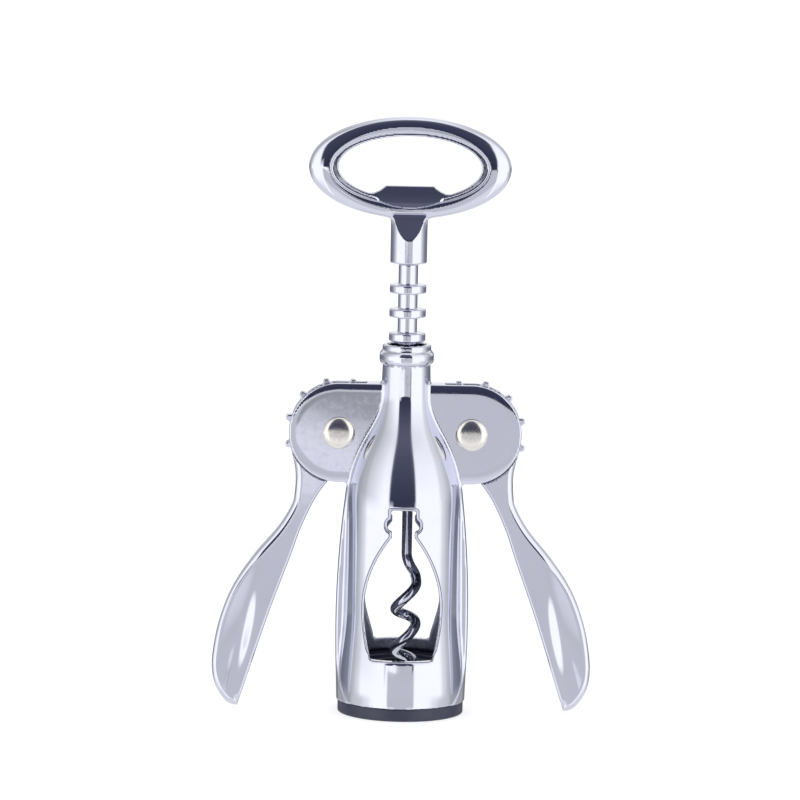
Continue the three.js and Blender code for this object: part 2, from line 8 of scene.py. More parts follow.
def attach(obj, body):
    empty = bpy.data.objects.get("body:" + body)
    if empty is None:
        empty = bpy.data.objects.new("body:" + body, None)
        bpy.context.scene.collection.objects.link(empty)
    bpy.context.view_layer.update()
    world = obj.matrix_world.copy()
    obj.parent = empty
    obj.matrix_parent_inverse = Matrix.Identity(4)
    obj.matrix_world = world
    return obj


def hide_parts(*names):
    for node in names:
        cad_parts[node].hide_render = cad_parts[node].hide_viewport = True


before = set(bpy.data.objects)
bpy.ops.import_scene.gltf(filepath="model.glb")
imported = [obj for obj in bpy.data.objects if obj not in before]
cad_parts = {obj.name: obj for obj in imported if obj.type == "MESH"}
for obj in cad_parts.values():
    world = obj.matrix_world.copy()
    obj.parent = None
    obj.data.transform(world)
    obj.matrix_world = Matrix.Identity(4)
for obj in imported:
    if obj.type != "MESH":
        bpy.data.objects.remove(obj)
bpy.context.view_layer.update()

# A wing corkscrew with a chromed frame in the shape of a bottle.
# The pieces are worked out in millimetres and made in metres, in the CAD model's frame:
# Z up, the foot on Z = 0, the front towards -Y, the wings along X.

mm = 0.001


# Nodes and colours

def colour(hexCode):
    def linear(value):
        return value / 12.92 if value <= 0.04045 else ((value + 0.055) / 1.055) ** 2.4
    parts = [int(hexCode[i:i + 2], 16) / 255 for i in (1, 3, 5)]
    return tuple(linear(part) for part in parts) + (1.0,)


# adds a node with its settings; a link is given in place of a socket's value, as a socket
# or as a node, whose first output is meant
def addNode(tree, kind, settings=None, **inputs):
    node = tree.nodes.new(kind)
    for name, value in (settings or {}).items():
        setattr(node, name, value)
    for name, value in inputs.items():
        key = name.replace("_", " ")
        socket = node.inputs[int(key[3:])] if key[:3] == "in " else node.inputs[key]
        if isinstance(value, bpy.types.Node):
            value = value.outputs[0]
        if isinstance(value, bpy.types.NodeSocket):
            tree.links.new(value, socket)
        else:
            socket.default_value = value
    return node


def mathNode(tree, operation, *values, clamp=False):
    inputs = {f"in_{i}": value for i, value in enumerate(values)}
    settings = {"operation": operation, "use_clamp": clamp}
    return addNode(tree, "ShaderNodeMath", settings, **inputs).outputs[0]


def product(tree, first, *others):
    for other in others:
        first = mathNode(tree, "MULTIPLY", first, other)
    return first


# a value from one range to another
def mapNode(tree, value, low, high, start=0.0, end=1.0, curve="LINEAR"):
    ends = {"in_1": low, "in_2": high, "in_3": start, "in_4": end}
    return addNode(tree, "ShaderNodeMapRange", {"interpolation_type": curve}, Value=value, **ends).outputs[0]


# stops are pairs of a place from 0 to 1 and a grey level or a colour
def rampNode(tree, factor, stops, interpolation="LINEAR"):
    node = addNode(tree, "ShaderNodeValToRGB", Fac=factor)
    ramp = node.color_ramp
    ramp.interpolation = interpolation
    while len(ramp.elements) < len(stops):
        ramp.elements.new(1.0)
    for element, (place, level) in zip(ramp.elements, stops):
        element.position = place
        element.color = level if isinstance(level, tuple) else (level, level, level, 1.0)
    return node.outputs["Color"]


def mixTones(tree, share, first, second, blend="MIX"):
    settings = {"data_type": "RGBA", "blend_type": blend}
    return addNode(tree, "ShaderNodeMix", settings, Factor=share, in_6=first, in_7=second).outputs[2]


def objectPlace(tree):
    return addNode(tree, "ShaderNodeTexCoord").outputs["Object"]


# sizes and depths in millimetres
def noiseNode(tree, place, size, detail):
    scale = 1 / (size * mm)
    return addNode(tree, "ShaderNodeTexNoise", Vector=place, Scale=scale, Detail=detail).outputs["Fac"]


def bumpNode(tree, height, depth, strength=1.0, invert=False, **more):
    sizes = {"Height": height, "Strength": strength, "Distance": depth * mm}
    return addNode(tree, "ShaderNodeBump", {"invert": invert}, **sizes, **more).outputs[0]


def addObject(name, data):
    added = bpy.data.objects.new(name, data)
    bpy.context.scene.collection.objects.link(added)
    return added


def newMaterial(name):
    material = bpy.data.materials.new(name)
    material.use_nodes = True
    material.node_tree.nodes.clear()
    return material, material.node_tree


def withSurface(material, **inputs):
    tree = material.node_tree
    surface = addNode(tree, "ShaderNodeBsdfPrincipled", **inputs)
    addNode(tree, "ShaderNodeOutputMaterial", Surface=surface)
    return material


# Materials

# Chromium plate on a polished zinc die casting. The plate is bright and a little blue,
# and the casting under it is not quite flat, so what it mirrors wavers slightly.
plating = {
    "colour": "#d9dbe7",
    "cloud": "#d0d2df",
    "cloudSize": 9.0,
    "cloudShare": 0.8,
    "waveSize": 5.0,
    "waveDepth": 0.005,
    "smooth": 0.035,
    "worn": 0.09,
    "wearSize": 1.6,
    "wearRange": (0.45, 0.8),
}

# A fine groove is bumped round the window, and painted shade darkens it into a dark line.
# Its distance from the window is an attribute of the casting, in millimetres. Towards
# the sill the line runs out: from fadeFrom down, that distance grows by fadeRate.
paintedShadeLine = {
    "distance": 0.8,
    "width": 0.24,
    "depth": 0.08,
    "colour": "#6d7084",
    "fadeFrom": 21.0,
    "fadeRate": 0.4,
    "none": 9.0,
}


def platedCasting(name, sizes, line=None):
    material, tree = newMaterial(name)
    place = objectPlace(tree)
    clouds = noiseNode(tree, place, sizes["cloudSize"], 2.0)
    clouds = mathNode(tree, "MULTIPLY", clouds, sizes["cloudShare"], clamp=True)
    tone = mixTones(tree, clouds, colour(sizes["colour"]), colour(sizes["cloud"]))
    wear = noiseNode(tree, place, sizes["wearSize"], 4.0)
    rough = mapNode(tree, wear, *sizes["wearRange"], sizes["smooth"], sizes["worn"])
    normal = bumpNode(tree, noiseNode(tree, place, sizes["waveSize"], 1.0), sizes["waveDepth"])
    # the groove round the window: a bump sinks it, and painted shade darkens its tone
    if line:
        far = addNode(tree, "ShaderNodeAttribute", {"attribute_name": "fromWindow"}).outputs["Fac"]
        off = mathNode(tree, "ABSOLUTE", mathNode(tree, "SUBTRACT", far, line["distance"]))
        within = mapNode(tree, off, 0.0, line["width"], 1.0, 0.0, "SMOOTHSTEP")
        tone = mixTones(tree, within, tone, colour(line["colour"]))
        normal = bumpNode(tree, within, line["depth"], invert=True, Normal=normal)
    return withSurface(material, Base_Color=tone, Metallic=1.0, Roughness=rough, Normal=normal)


# Drawn steel wire, hardened and polished: darker than the plate, with fine marks along it.
wireFinish = {"colour": "#cfd2de", "mark": "#b2b5c2", "markSize": 0.35, "smooth": 0.08, "worn": 0.18}

# Nickel-plated steel rivets, formed cold: a warmer white than chromium, faintly satin.
nickelFinish = {"colour": "#f2efea", "mark": "#dedad2", "markSize": 0.3, "smooth": 0.12, "worn": 0.27}

# The inside of the bell: duller than the plate, and darker in tone, which is painted shade for the hollow.
insideFinishAndShade = {"colour": "#b9bccc", "mark": "#9093a6", "markSize": 1.2, "smooth": 0.38, "worn": 0.55}

# The noise levels between which a finish turns to its mark's colour, and from smooth to worn.
markRange = (0.35, 0.75)
roughRange = (0.3, 0.8)


def wornMetal(name, sizes, stretch=(1.0, 1.0, 1.0), grainDepth=0.002):
    material, tree = newMaterial(name)
    drawn = addNode(tree, "ShaderNodeMapping", Vector=objectPlace(tree), Scale=stretch).outputs[0]
    marks = noiseNode(tree, drawn, sizes["markSize"], 5.0)
    tones = colour(sizes["colour"]), colour(sizes["mark"])
    tone = rampNode(tree, marks, list(zip(markRange, tones)))
    rough = mapNode(tree, marks, *roughRange, sizes["smooth"], sizes["worn"])
    normal = bumpNode(tree, marks, grainDepth, strength=0.6)
    return withSurface(material, Base_Color=tone, Metallic=1.0, Roughness=rough, Normal=normal)


# Moulded ABS, black and half glossy, with the fine sparked grain of its tool.
mouldingFinish = {
    "colour": "#353850",
    "pale": "#454860",
    "paleRange": (0.4, 0.8),
    "scuffSize": 4.0,
    "grainSize": 0.35,
    "grainDepth": 0.02,
    "smooth": 0.26,
    "worn": 0.44,
    "index": 1.54,
}


def mouldedPlastic(name, sizes):
    material, tree = newMaterial(name)
    place = objectPlace(tree)
    scuffs = noiseNode(tree, place, sizes["scuffSize"], 3.0)
    tones = colour(sizes["colour"]), colour(sizes["pale"])
    tone = rampNode(tree, scuffs, list(zip(sizes["paleRange"], tones)))
    rough = mapNode(tree, scuffs, *roughRange, sizes["smooth"], sizes["worn"])
    grain = noiseNode(tree, place, sizes["grainSize"], 3.0)
    normal = bumpNode(tree, grain, sizes["grainDepth"], strength=0.5)
    return withSurface(
        material, Base_Color=tone, Metallic=0.0, Roughness=rough, IOR=sizes["index"], Normal=normal,
    )


brightChrome = platedCasting("chromium plate on zinc casting", plating)
frameChrome = platedCasting("chromium plate on the lined frame casting", plating, paintedShadeLine)
polishedSteel = wornMetal("polished spring steel wire", wireFinish, stretch=(1.0, 1.0, 0.3))
satinNickel = wornMetal("nickel plated rivet steel", nickelFinish)
bellInside = wornMetal("unpolished zinc inside the bell", insideFinishAndShade, grainDepth=0.02)
blackMoulding = mouldedPlastic("black ABS moulding", mouldingFinish)
print("materials made")


# Outlines

# A row of points from a start on. A line is given by its end, and a Bezier curve by a list
# of its other control points.
def trace(start, *parts, step=0.15):
    rows = []
    for part in parts:
        part = np.array([start, *(part if isinstance(part, list) else [part])], float)
        length = np.hypot(*np.diff(part, axis=0).T).sum()
        share = np.linspace(0, 1, max(2, math.ceil(length / step)), endpoint=False)[:, None]
        layers = [point[None, :] for point in part]
        while len(layers) > 1:
            layers = [a * (1 - share) + b * share for a, b in zip(layers, layers[1:])]
        rows.append(layers[0])
        start = part[-1]
    return np.vstack(rows)


# A closed profile from its corners: radius, height, and how much of both sides its curve takes.
def rounded(corners, step=0.15):
    corners = [(np.array(corner[:2], float), corner[2]) for corner in corners.values()]

    def towards(place, other, distance):
        return place + (other - place) / math.dist(place, other) * distance

    last, lastEdge = corners[-1]
    parts = []
    start = towards(last, corners[0][0], lastEdge)
    for i, (corner, edge) in enumerate(corners):
        parts.append(towards(corner, corners[i - 1][0], edge))
        if edge:
            parts.append([corner, towards(corner, corners[(i + 1) % len(corners)][0], edge)])
    return trace(start, *parts, step=step)


# A curve through points, as a Catmull-Rom spline.
def throughPoints(points, step=0.15):
    points = np.array(points, float)
    rows = []
    last = len(points) - 1
    for i in range(last):
        before, here, there, after = (points[j] for j in (max(i - 1, 0), i, i + 1, min(i + 2, last)))
        count = max(2, math.ceil(np.hypot(*(there - here)) / step))
        share = np.linspace(0, 1, count, endpoint=False)[:, None]
        leave, arrive = (there - before) / 2, (after - here) / 2
        rows.append(
            (2 * here - 2 * there + leave + arrive) * share ** 3
            + (3 * there - 3 * here - 2 * leave - arrive) * share ** 2 + leave * share + here
        )
    return np.vstack(rows)


def mirrored(points):
    return np.vstack([points, (points * (-1, 1))[::-1]])


# how many rows of a table and layers of a grid are worked out at a time, to spare memory
tableRows, gridLayers = 16, 24


# Distance to a closed outline in millimetres, negative inside, read from a fine table.
def outlineField(outline, reach=3.0, step=0.1):
    low = outline.min(axis=0) - reach
    high = outline.max(axis=0) + reach
    across = np.arange(low[0], high[0] + step, step)
    up = np.arange(low[1], high[1] + step, step)
    start, end = outline, np.roll(outline, -1, axis=0)
    keep = np.hypot(*(end - start).T) > 1e-9
    start, end = start[keep], end[keep]
    table = np.full((len(across), len(up)), reach, np.float32)
    for first in range(0, len(up), tableRows):
        rows = up[first:first + tableRows]
        near = np.minimum(start[:, 1], end[:, 1]) < rows[-1] + reach
        near &= np.maximum(start[:, 1], end[:, 1]) > rows[0] - reach
        if near.any():
            a = start[near].astype(np.float32)
            b = (end[near] - start[near]).astype(np.float32)
            dx = across[:, None, None].astype(np.float32) - a[:, 0]
            dz = rows[:, None].astype(np.float32) - a[:, 1]
            share = np.clip((dx * b[:, 0] + dz * b[:, 1]) / (b ** 2).sum(axis=1), 0, 1)
            dx = dx - share * b[:, 0]
            dz = dz - share * b[:, 1]
            away = np.sqrt((dx ** 2 + dz ** 2).min(axis=2))
            table[:, first:first + tableRows] = np.minimum(away, reach)
        for j, height in enumerate(rows):
            crossed = (start[:, 1] > height) != (end[:, 1] > height)
            a, b = start[crossed], end[crossed]
            places = np.sort(a[:, 0] + (height - a[:, 1]) / (b[:, 1] - a[:, 1]) * (b[:, 0] - a[:, 0]))
            inside = np.searchsorted(places, across) % 2 == 1
            table[inside, first + j] *= -1

    def field(x, z):
        u = np.clip((x - low[0]) / step, 0, len(across) - 1.001)
        v = np.clip((z - low[1]) / step, 0, len(up) - 1.001)
        i, j = u.astype(np.int32), v.astype(np.int32)
        u, v = u - i, v - j
        i, j = np.broadcast_arrays(i, j)
        left = table[i, j] * (1 - v) + table[i, j + 1] * v
        right = table[i + 1, j] * (1 - v) + table[i + 1, j + 1] * v
        return left * (1 - u) + right * u

    return field


# what two solids share, with its edge rounded
def roundCut(a, b, radius):
    corner = np.hypot(np.maximum(a + radius, 0), np.maximum(b + radius, 0))
    return np.minimum(-radius, np.maximum(a, b)) + corner


# two solids in one, with a fillet between them
def roundJoin(a, b, radius):
    corner = np.hypot(np.maximum(radius - a, 0), np.maximum(radius - b, 0))
    return np.maximum(radius, np.minimum(a, b)) - corner


# Skins

# The skin of a casting whose field is negative inside: one point for each cell of a grid
# that the skin passes through, drawn on to it, with the field's own slope for its normals.
def castSkin(field, low, high, step, passes=4, slopeReach=0.03, normalReach=0.05):
    axes = [np.arange(a, b + step, step, dtype=np.float32) for a, b in zip(low, high)]
    counts = [len(axis) for axis in axes]
    values = np.empty(counts, np.float32)
    across, deep = axes[0][:, None, None], axes[1][None, :, None]
    for first in range(0, counts[2], gridLayers):
        layers = slice(first, first + gridLayers)
        values[:, :, layers] = field(across, deep, axes[2][None, None, layers])
    inside = values < 0

    corners = [(i, j, k) for i in (0, 1) for j in (0, 1) for k in (0, 1)]
    cells = [count - 1 for count in counts]
    part = [inside[i:i + cells[0], j:j + cells[1], k:k + cells[2]] for i, j, k in corners]
    total = sum(p.astype(np.int8) for p in part)
    active = np.argwhere((total > 0) & (total < 8))
    number = np.full(cells, -1, np.int32)
    number[tuple(active.T)] = np.arange(len(active))
    at = np.stack([values[tuple((active + corner).T)] for corner in corners], axis=1)
    points = np.zeros((len(active), 3))
    crossings = np.zeros(len(active))
    for a in range(8):
        for b in range(a + 1, 8):
            if sum(p != q for p, q in zip(corners[a], corners[b])) != 1:
                continue
            crossed = (at[:, a] < 0) != (at[:, b] < 0)
            share = np.where(crossed, at[:, a] / np.where(crossed, at[:, a] - at[:, b], 1), 0)[:, None]
            edge = np.array(corners[a]) + share * (np.array(corners[b]) - np.array(corners[a]))
            points += edge * crossed[:, None]
            crossings += crossed
    points = (active + points / crossings[:, None]) * step + np.array(low)

    faces = []
    for axis in range(3):
        others = [(axis + 1) % 3, (axis + 2) % 3]
        size = list(cells)
        ahead = [slice(0, c) for c in size]
        behind = [slice(0, c) for c in size]
        behind[axis] = slice(1, size[axis] + 1)
        change = inside[tuple(ahead)].astype(np.int8) - inside[tuple(behind)]
        found = np.argwhere(change != 0)
        found = found[(found[:, others[0]] > 0) & (found[:, others[1]] > 0)]
        first, second = np.eye(3, dtype=int)[others[0]], np.eye(3, dtype=int)[others[1]]
        ring = [found, found - first, found - first - second, found - second]
        quad = np.stack([number[tuple(r.T)] for r in ring], axis=1)
        flip = change[tuple(found.T)] < 0
        quad[flip] = quad[flip][:, ::-1]
        faces.append(quad)
    faces = np.vstack(faces)

    def slope(where, reach):
        moves = np.eye(3) * reach
        return np.stack([
            field(*(where + move).T) - field(*(where - move).T) for move in moves
        ], axis=1) / (2 * reach)

    for _ in range(passes):
        rise = slope(points, slopeReach)
        move = field(*points.T)[:, None] * rise / np.maximum((rise ** 2).sum(axis=1), 0.1)[:, None]
        points -= np.clip(move, -step / 2, step / 2)
    normals = slope(points, normalReach)
    normals /= np.linalg.norm(normals, axis=1)[:, None]
    return points, faces, normals


# A profile of radius and height turned about a line through the middle, along Z.
def turnedSkin(profile, sides, ring=True):
    profile = np.array(profile, float)
    step = (np.roll(profile, -1, axis=0) if ring else np.vstack([profile[1:], profile[-1:]])) - profile
    normal = np.stack([step[:, 1], -step[:, 0]], axis=1)
    normal = normal + np.roll(normal, 1, axis=0) if ring else normal + np.vstack([normal[:1], normal[:-1]])
    normal /= np.linalg.norm(normal, axis=1)[:, None]
    angles = np.linspace(0, 2 * math.pi, sides, endpoint=False)
    count = len(profile)
    cos, sin = np.cos(angles)[:, None], np.sin(angles)[:, None]

    def around(pairs):
        heights = np.repeat(pairs[None, :, 1], sides, axis=0)
        return np.stack([pairs[:, 0] * cos, pairs[:, 0] * sin, heights], axis=2).reshape(-1, 3)

    points, normals = around(profile), around(normal)
    j, i = np.meshgrid(np.arange(sides), np.arange(count if ring else count - 1), indexing="ij")
    nextJ, nextI = (j + 1) % sides, (i + 1) % count
    faces = np.stack([j * count + i, nextJ * count + i, nextJ * count + nextI, j * count + nextI], axis=2)
    return points, faces.reshape(-1, 4), normals


def makePiece(name, skin, materials):
    points, faces, normals = skin
    mesh = bpy.data.meshes.new(name)
    mesh.vertices.add(len(points))
    mesh.vertices.foreach_set("co", (points * mm).astype(np.float32).ravel())
    mesh.loops.add(faces.size)
    mesh.loops.foreach_set("vertex_index", faces.astype(np.int32).ravel())
    mesh.polygons.add(len(faces))
    mesh.polygons.foreach_set("loop_start", np.arange(0, faces.size, 4, dtype=np.int32))
    mesh.update(calc_edges=True)
    mesh.validate()
    for material in materials:
        mesh.materials.append(material)
    mesh.shade_smooth()
    mesh.normals_split_custom_set_from_vertices(normals.tolist())
    print(name, len(faces), "faces")
    return addObject(name, mesh)


def fitPiece(piece, body, slotName, *nodes):
    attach(piece, body)
    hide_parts(*nodes)


# Frame casting

# The bottle's profile and the hollow in it, as places of radius and height.
casting = {
    "skirt": (18.95, 6.0),
    "skirtBend": [(18.95, 14.67), (17.5, 23.33), (17.5, 32.0)],
    "shoulder": (17.1, 59.5),
    "neckBend": [(17.4, 81.2), (7.8, 84.5), (7.4, 95.0)],
    "softness": 1.1,
    "lipFoot": (7.11, 104.95),
    "lip": (8.1, 108.95),
    "lipRound": 1.5,
    "rim": (7.25, 110.75),
    "rimRound": 0.45,
    "socket": (16.15, 15.4),
    "bell": (15.2, 16.35),
    "bellTop": 62.0,
    "bellBend": [(15.48, 82.0), (6.12, 84.5), (5.73, 95.0)],
    "bore": 5.73,
    "mouthEdge": 0.25,
    "footHeight": 3.7,
    "footEdge": 0.3,
    "flankRadius": 19.87,
    "flankHeight": 27.0,
    "flankArc": 322.0,
    "flankTop": 74.0,
    "flankFillet": 1.5,
    "flankFlareTop": 18.0,
    "flankFootHalf": 10.8,
    "flankDraft": 0.1,
    "draftFrom": 16.9,
    "draftRise": 8.0,
    "pivot": (19.7, 84.15),
    "earRadius": 14.9,
    "earHalf": 3.4,
    "leftCrown": (3.3, 0.0135),
    "rightCrown": (4.2, 0.012),
    "earFade": 4.0,
    "slotRadius": 16.7,
    "slotHalf": 1.9,
    "slotEdge": 0.2,
    "rivetHole": 2.7,
    "edge": 0.45,
    "windowEdge": 0.7,
    "neckFillet": 0.8,
    "insideReach": (16.4, 96.0, 0.95),
    "corners": ((-35.3, -20.5, 3.1), (35.3, 20.5, 111.0)),
    "gridStep": 0.56,
    # Half the window: its sill's height and half width, which is higher and narrower behind,
    # its corner, and the curves above that as places across and up.
    "frontSill": (17.9, 9.3),
    "backSill": (19.4, 8.5),
    "cornerEdge": 1.0,
    "cornerRise": 1.4,
    "bellyFoot": (0.9, 5.1, 10.1),
    "belly": (11.2, 33.0),
    "bellyTop": [(11.2, 42.505), (7.0, 50.19), (3.35, 54.9)],
    "windowNeck": (3.35, 56.6),
    "collarFoot": [(3.35, 56.9), (3.65, 56.95)],
    "collar": [(5.25, 57.1), (5.25, 60.2), (3.7, 60.35)],
    "windowTop": (3.7, 63.0),
}
pastAxis = -4.0  # the outlines of turned solids close beyond their axis


def bottleOutline(sizes):
    (skirt, skirtTop), foot = sizes["skirt"], sizes["lipFoot"]
    side = trace(
        (skirt, 0), (skirt, skirtTop), sizes["skirtBend"], sizes["shoulder"], sizes["neckBend"], foot,
    )
    # smoothed by a bell curve, so that the metal mirrors no kink where the curves meet
    spacing, reach = 0.15, 24
    heights = np.arange(0, foot[1], spacing)
    radii = np.interp(heights, side[:, 1], side[:, 0])
    bell = np.exp(-0.5 * (np.arange(-reach, reach + 1) * spacing / sizes["softness"]) ** 2)
    radii = np.convolve(np.pad(radii, reach, mode="edge"), bell / bell.sum(), mode="valid")
    (lip, lipTop), (rim, rimTop) = sizes["lip"], sizes["rim"]
    bulge, edge, low = sizes["lipRound"], sizes["rimRound"], foot[1]
    top = trace(
        foot, [(foot[0] + 0.3, low), (lip, low), (lip, low + bulge)], (lip, lipTop - bulge),
        [(lip, lipTop - 0.2), (rim, lipTop - 0.2), (rim, lipTop + 0.25)], (rim, rimTop - edge),
        [(rim, rimTop), (rim - edge, rimTop)], (sizes["bore"] + 0.3, rimTop), (pastAxis, rimTop),
        (pastAxis, 0),
    )
    return np.vstack([np.stack([radii, heights], axis=1), top])


def hollowOutline(sizes):
    (socket, socketTop), (bell, bellFoot) = sizes["socket"], sizes["bell"]
    low, high = -2, 113
    return trace(
        (pastAxis, low), (socket, low), (socket, socketTop), (bell, bellFoot), (bell, sizes["bellTop"]),
        sizes["bellBend"], (sizes["bore"], high), (pastAxis, high), (pastAxis, low),
    )


def windowOutline(sizes, side):
    sill, foot = sizes[side]
    edge, belly, top = sizes["cornerEdge"], sizes["belly"], sizes["windowTop"]
    out, low, high = sizes["bellyFoot"]
    corner = [(foot, sill), (foot, sill + sizes["cornerRise"])]
    bellyFoot = [(foot + out, sill + low), (belly[0], sill + high), belly]
    upper = [sizes[key] for key in ("bellyTop", "windowNeck", "collarFoot", "collar")]
    return mirrored(trace((0, sill), (foot - edge, sill), corner, bellyFoot, *upper, top, (0, top[1])))


frontWindow = outlineField(windowOutline(casting, "frontSill"))
backWindow = outlineField(windowOutline(casting, "backSill"))


def frameField(sizes):
    bottle, hollow = outlineField(bottleOutline(sizes)), outlineField(hollowOutline(sizes))
    leftCrown, rightCrown = sizes["leftCrown"], sizes["rightCrown"]
    pivotX, pivotZ = sizes["pivot"]
    arc, arcHeight = sizes["flankArc"], sizes["flankHeight"]
    flareTop, foot = sizes["flankFlareTop"], sizes["footHeight"]
    bend = 2 * (sizes["flankFootHalf"] - sizes["earHalf"]) / (flareTop - foot) ** 2

    def field(x, y, z):
        behind = y > 0
        crownReach, crown = (np.where(x < 0, left, right) for left, right in zip(leftCrown, rightCrown))
        x, y = np.abs(x), np.abs(y)
        radius = np.hypot(x, y)
        envelope = sizes["flankRadius"] - arc + np.sqrt(arc ** 2 - (z - arcHeight) ** 2)
        flank = np.maximum(radius - envelope, z - sizes["flankTop"])
        fromPivot = np.hypot(x - pivotX, z - pivotZ)
        ear = np.where(x > pivotX, fromPivot, np.abs(z - pivotZ)) - sizes["earRadius"]
        flare = np.maximum(flareTop - z, 0)
        inFrom = np.clip(crownReach + ear, 0, crownReach) * (1 - np.clip(ear / sizes["earFade"], 0, 1))
        half = sizes["earHalf"] - crown * inFrom ** 2 + bend * flare ** 2 / 2
        draft = sizes["flankDraft"] * np.maximum(x - sizes["draftFrom"], 0)
        half = half - draft * np.minimum(flare / sizes["draftRise"], 1)
        side = (y - half) / np.sqrt(1 + (bend * flare) ** 2)
        plate = roundCut(roundJoin(ear, flank, sizes["flankFillet"]), side, sizes["edge"])
        solid = roundJoin(bottle(radius, z), plate, sizes["neckFillet"])
        solid = roundCut(solid, -hollow(radius, z), sizes["mouthEdge"])
        solid = roundCut(solid, -np.where(behind, backWindow(x, z), frontWindow(x, z)), sizes["windowEdge"])
        slot = np.maximum(fromPivot - sizes["slotRadius"], y - sizes["slotHalf"])
        solid = roundCut(solid, -slot, sizes["slotEdge"])
        solid = np.maximum(solid, sizes["rivetHole"] - fromPivot)
        return roundCut(solid, foot - z, sizes["footEdge"])

    return field


skin = castSkin(frameField(casting), *casting["corners"], casting["gridStep"])
frameCasting = makePiece("frame_casting", skin, [frameChrome, bellInside])

# faces that look inwards, up to a radius and a height, are the inside, but for level ones
centres, facing = (values[skin[1]].mean(axis=1) for values in (skin[0], skin[2]))
reach, top, level = casting["insideReach"]
inwards = (facing[:, :2] * centres[:, :2]).sum(axis=1) < 0
near = (np.hypot(centres[:, 0], centres[:, 1]) < reach) & (centres[:, 2] < top)
inside = inwards & near & (np.abs(facing[:, 2]) < level)
# these faces take the inside finish, whose darker tone is painted shade
frameCasting.data.polygons.foreach_set("material_index", inside.astype(np.int32))

x, y, z = skin[0].T
# distances from the window, which place the painted shade line in the frame's material
fromWindow = np.where(y > 0, backWindow(np.abs(x), z), frontWindow(np.abs(x), z))
fromWindow = np.where(np.hypot(x, y) > reach, fromWindow, paintedShadeLine["none"])
fromWindow += np.maximum(paintedShadeLine["fadeFrom"] - z, 0) * paintedShadeLine["fadeRate"]
distances = frameCasting.data.attributes.new("fromWindow", "FLOAT", "POINT")
distances.data.foreach_set("value", fromWindow.astype(np.float32))
fitPiece(frameCasting, "frame", "casting", "bottle_frame")
print("frame casting made")


# Handle casting

handle = {
    "foot": 135.0,
    "stemRadius": 5.45,
    "stemTop": 151.0,
    "bore": (1.75, 147.2),
    "facetFoot": (5.5, 142.2),
    "facetTop": (2.3, 150.0),
    "facetHalf": 4.95,
    "webFoot": 142.5,
    "webTop": 151.5,
    "middle": 163.4,
    "outside": (30.0, 15.05),
    "inside": (23.4, 10.9),
    "hole": (21.2, 9.35),
    "rimHalf": 3.2,
    "crown": 0.0446,
    "inwardSlope": 0.03,
    "ledgeHalf": 1.4,
    "ledgeInset": 2.0,
    "tongueTop": 158.0,
    "tongueHalf": 7.4,
    "tongueFootHalf": 11.8,
    "tongueDrop": 6.4,
    "tongueDeep": 3.1,
    "tongueBed": (16.55, 11.8),
    "tongueFace": (1.1, 1.13, 0.92),
    "tongueFade": (5.5, 11.4),
    # how far the rim's crest is inside its outer edge, by the rim's width
    "crest": {4.15: 2.8, 4.35: 3.3, 4.55: 3.75, 4.8: 4.2, 5.15: 4.7, 5.6: 5.25, 6.6: 6.3},
    "edges": {
        "rim": 1.35, "inner": 0.35, "ledge": 0.35, "tongue": 0.3, "bed": 0.2, "foot": 0.4, "facet": 0.12,
        "web": 0.8, "bore": 0.15,
    },
    "fillets": {"ledge": 0.5, "tongue": 0.35, "web": 0.9, "stem": 0.7},
    "corners": ((-30.7, -6.1, 134.4), (30.7, 6.1, 179.3)),
    "gridStep": 0.33,
}


def ellipseOutline(radii, height):
    angle = np.linspace(0, 2 * math.pi, 1400, endpoint=False)
    return np.stack([radii[0] * np.cos(angle), height + radii[1] * np.sin(angle)], axis=1)


def tongueOutline(sizes):
    hole, out = sizes["hole"], sizes["tongueFootHalf"]
    foot = sizes["middle"] - hole[1] * math.sqrt(1 - (out / hole[0]) ** 2)
    half, top = sizes["tongueHalf"], sizes["tongueTop"]
    return mirrored(trace(
        (0, 149.5), (out, 150.5), (out, foot), [(half + 1.9, foot + 0.3), (half + 0.1, top - 0.35)],
        [(half - 0.1, top), (half - 0.6, top)], (0, top),
    ))


def webOutline(sizes):
    stem, foot, top = sizes["stemRadius"], sizes["webFoot"], sizes["webTop"]
    return mirrored(trace(
        (0, foot), (stem - 1.3, foot), (stem - 0.7, 146.3),
        [(stem - 0.4, 148.4), (stem + 0.6, 148.9), (stem + 3.4, 149.5)], (stem + 3.4, top), (0, top),
    ))


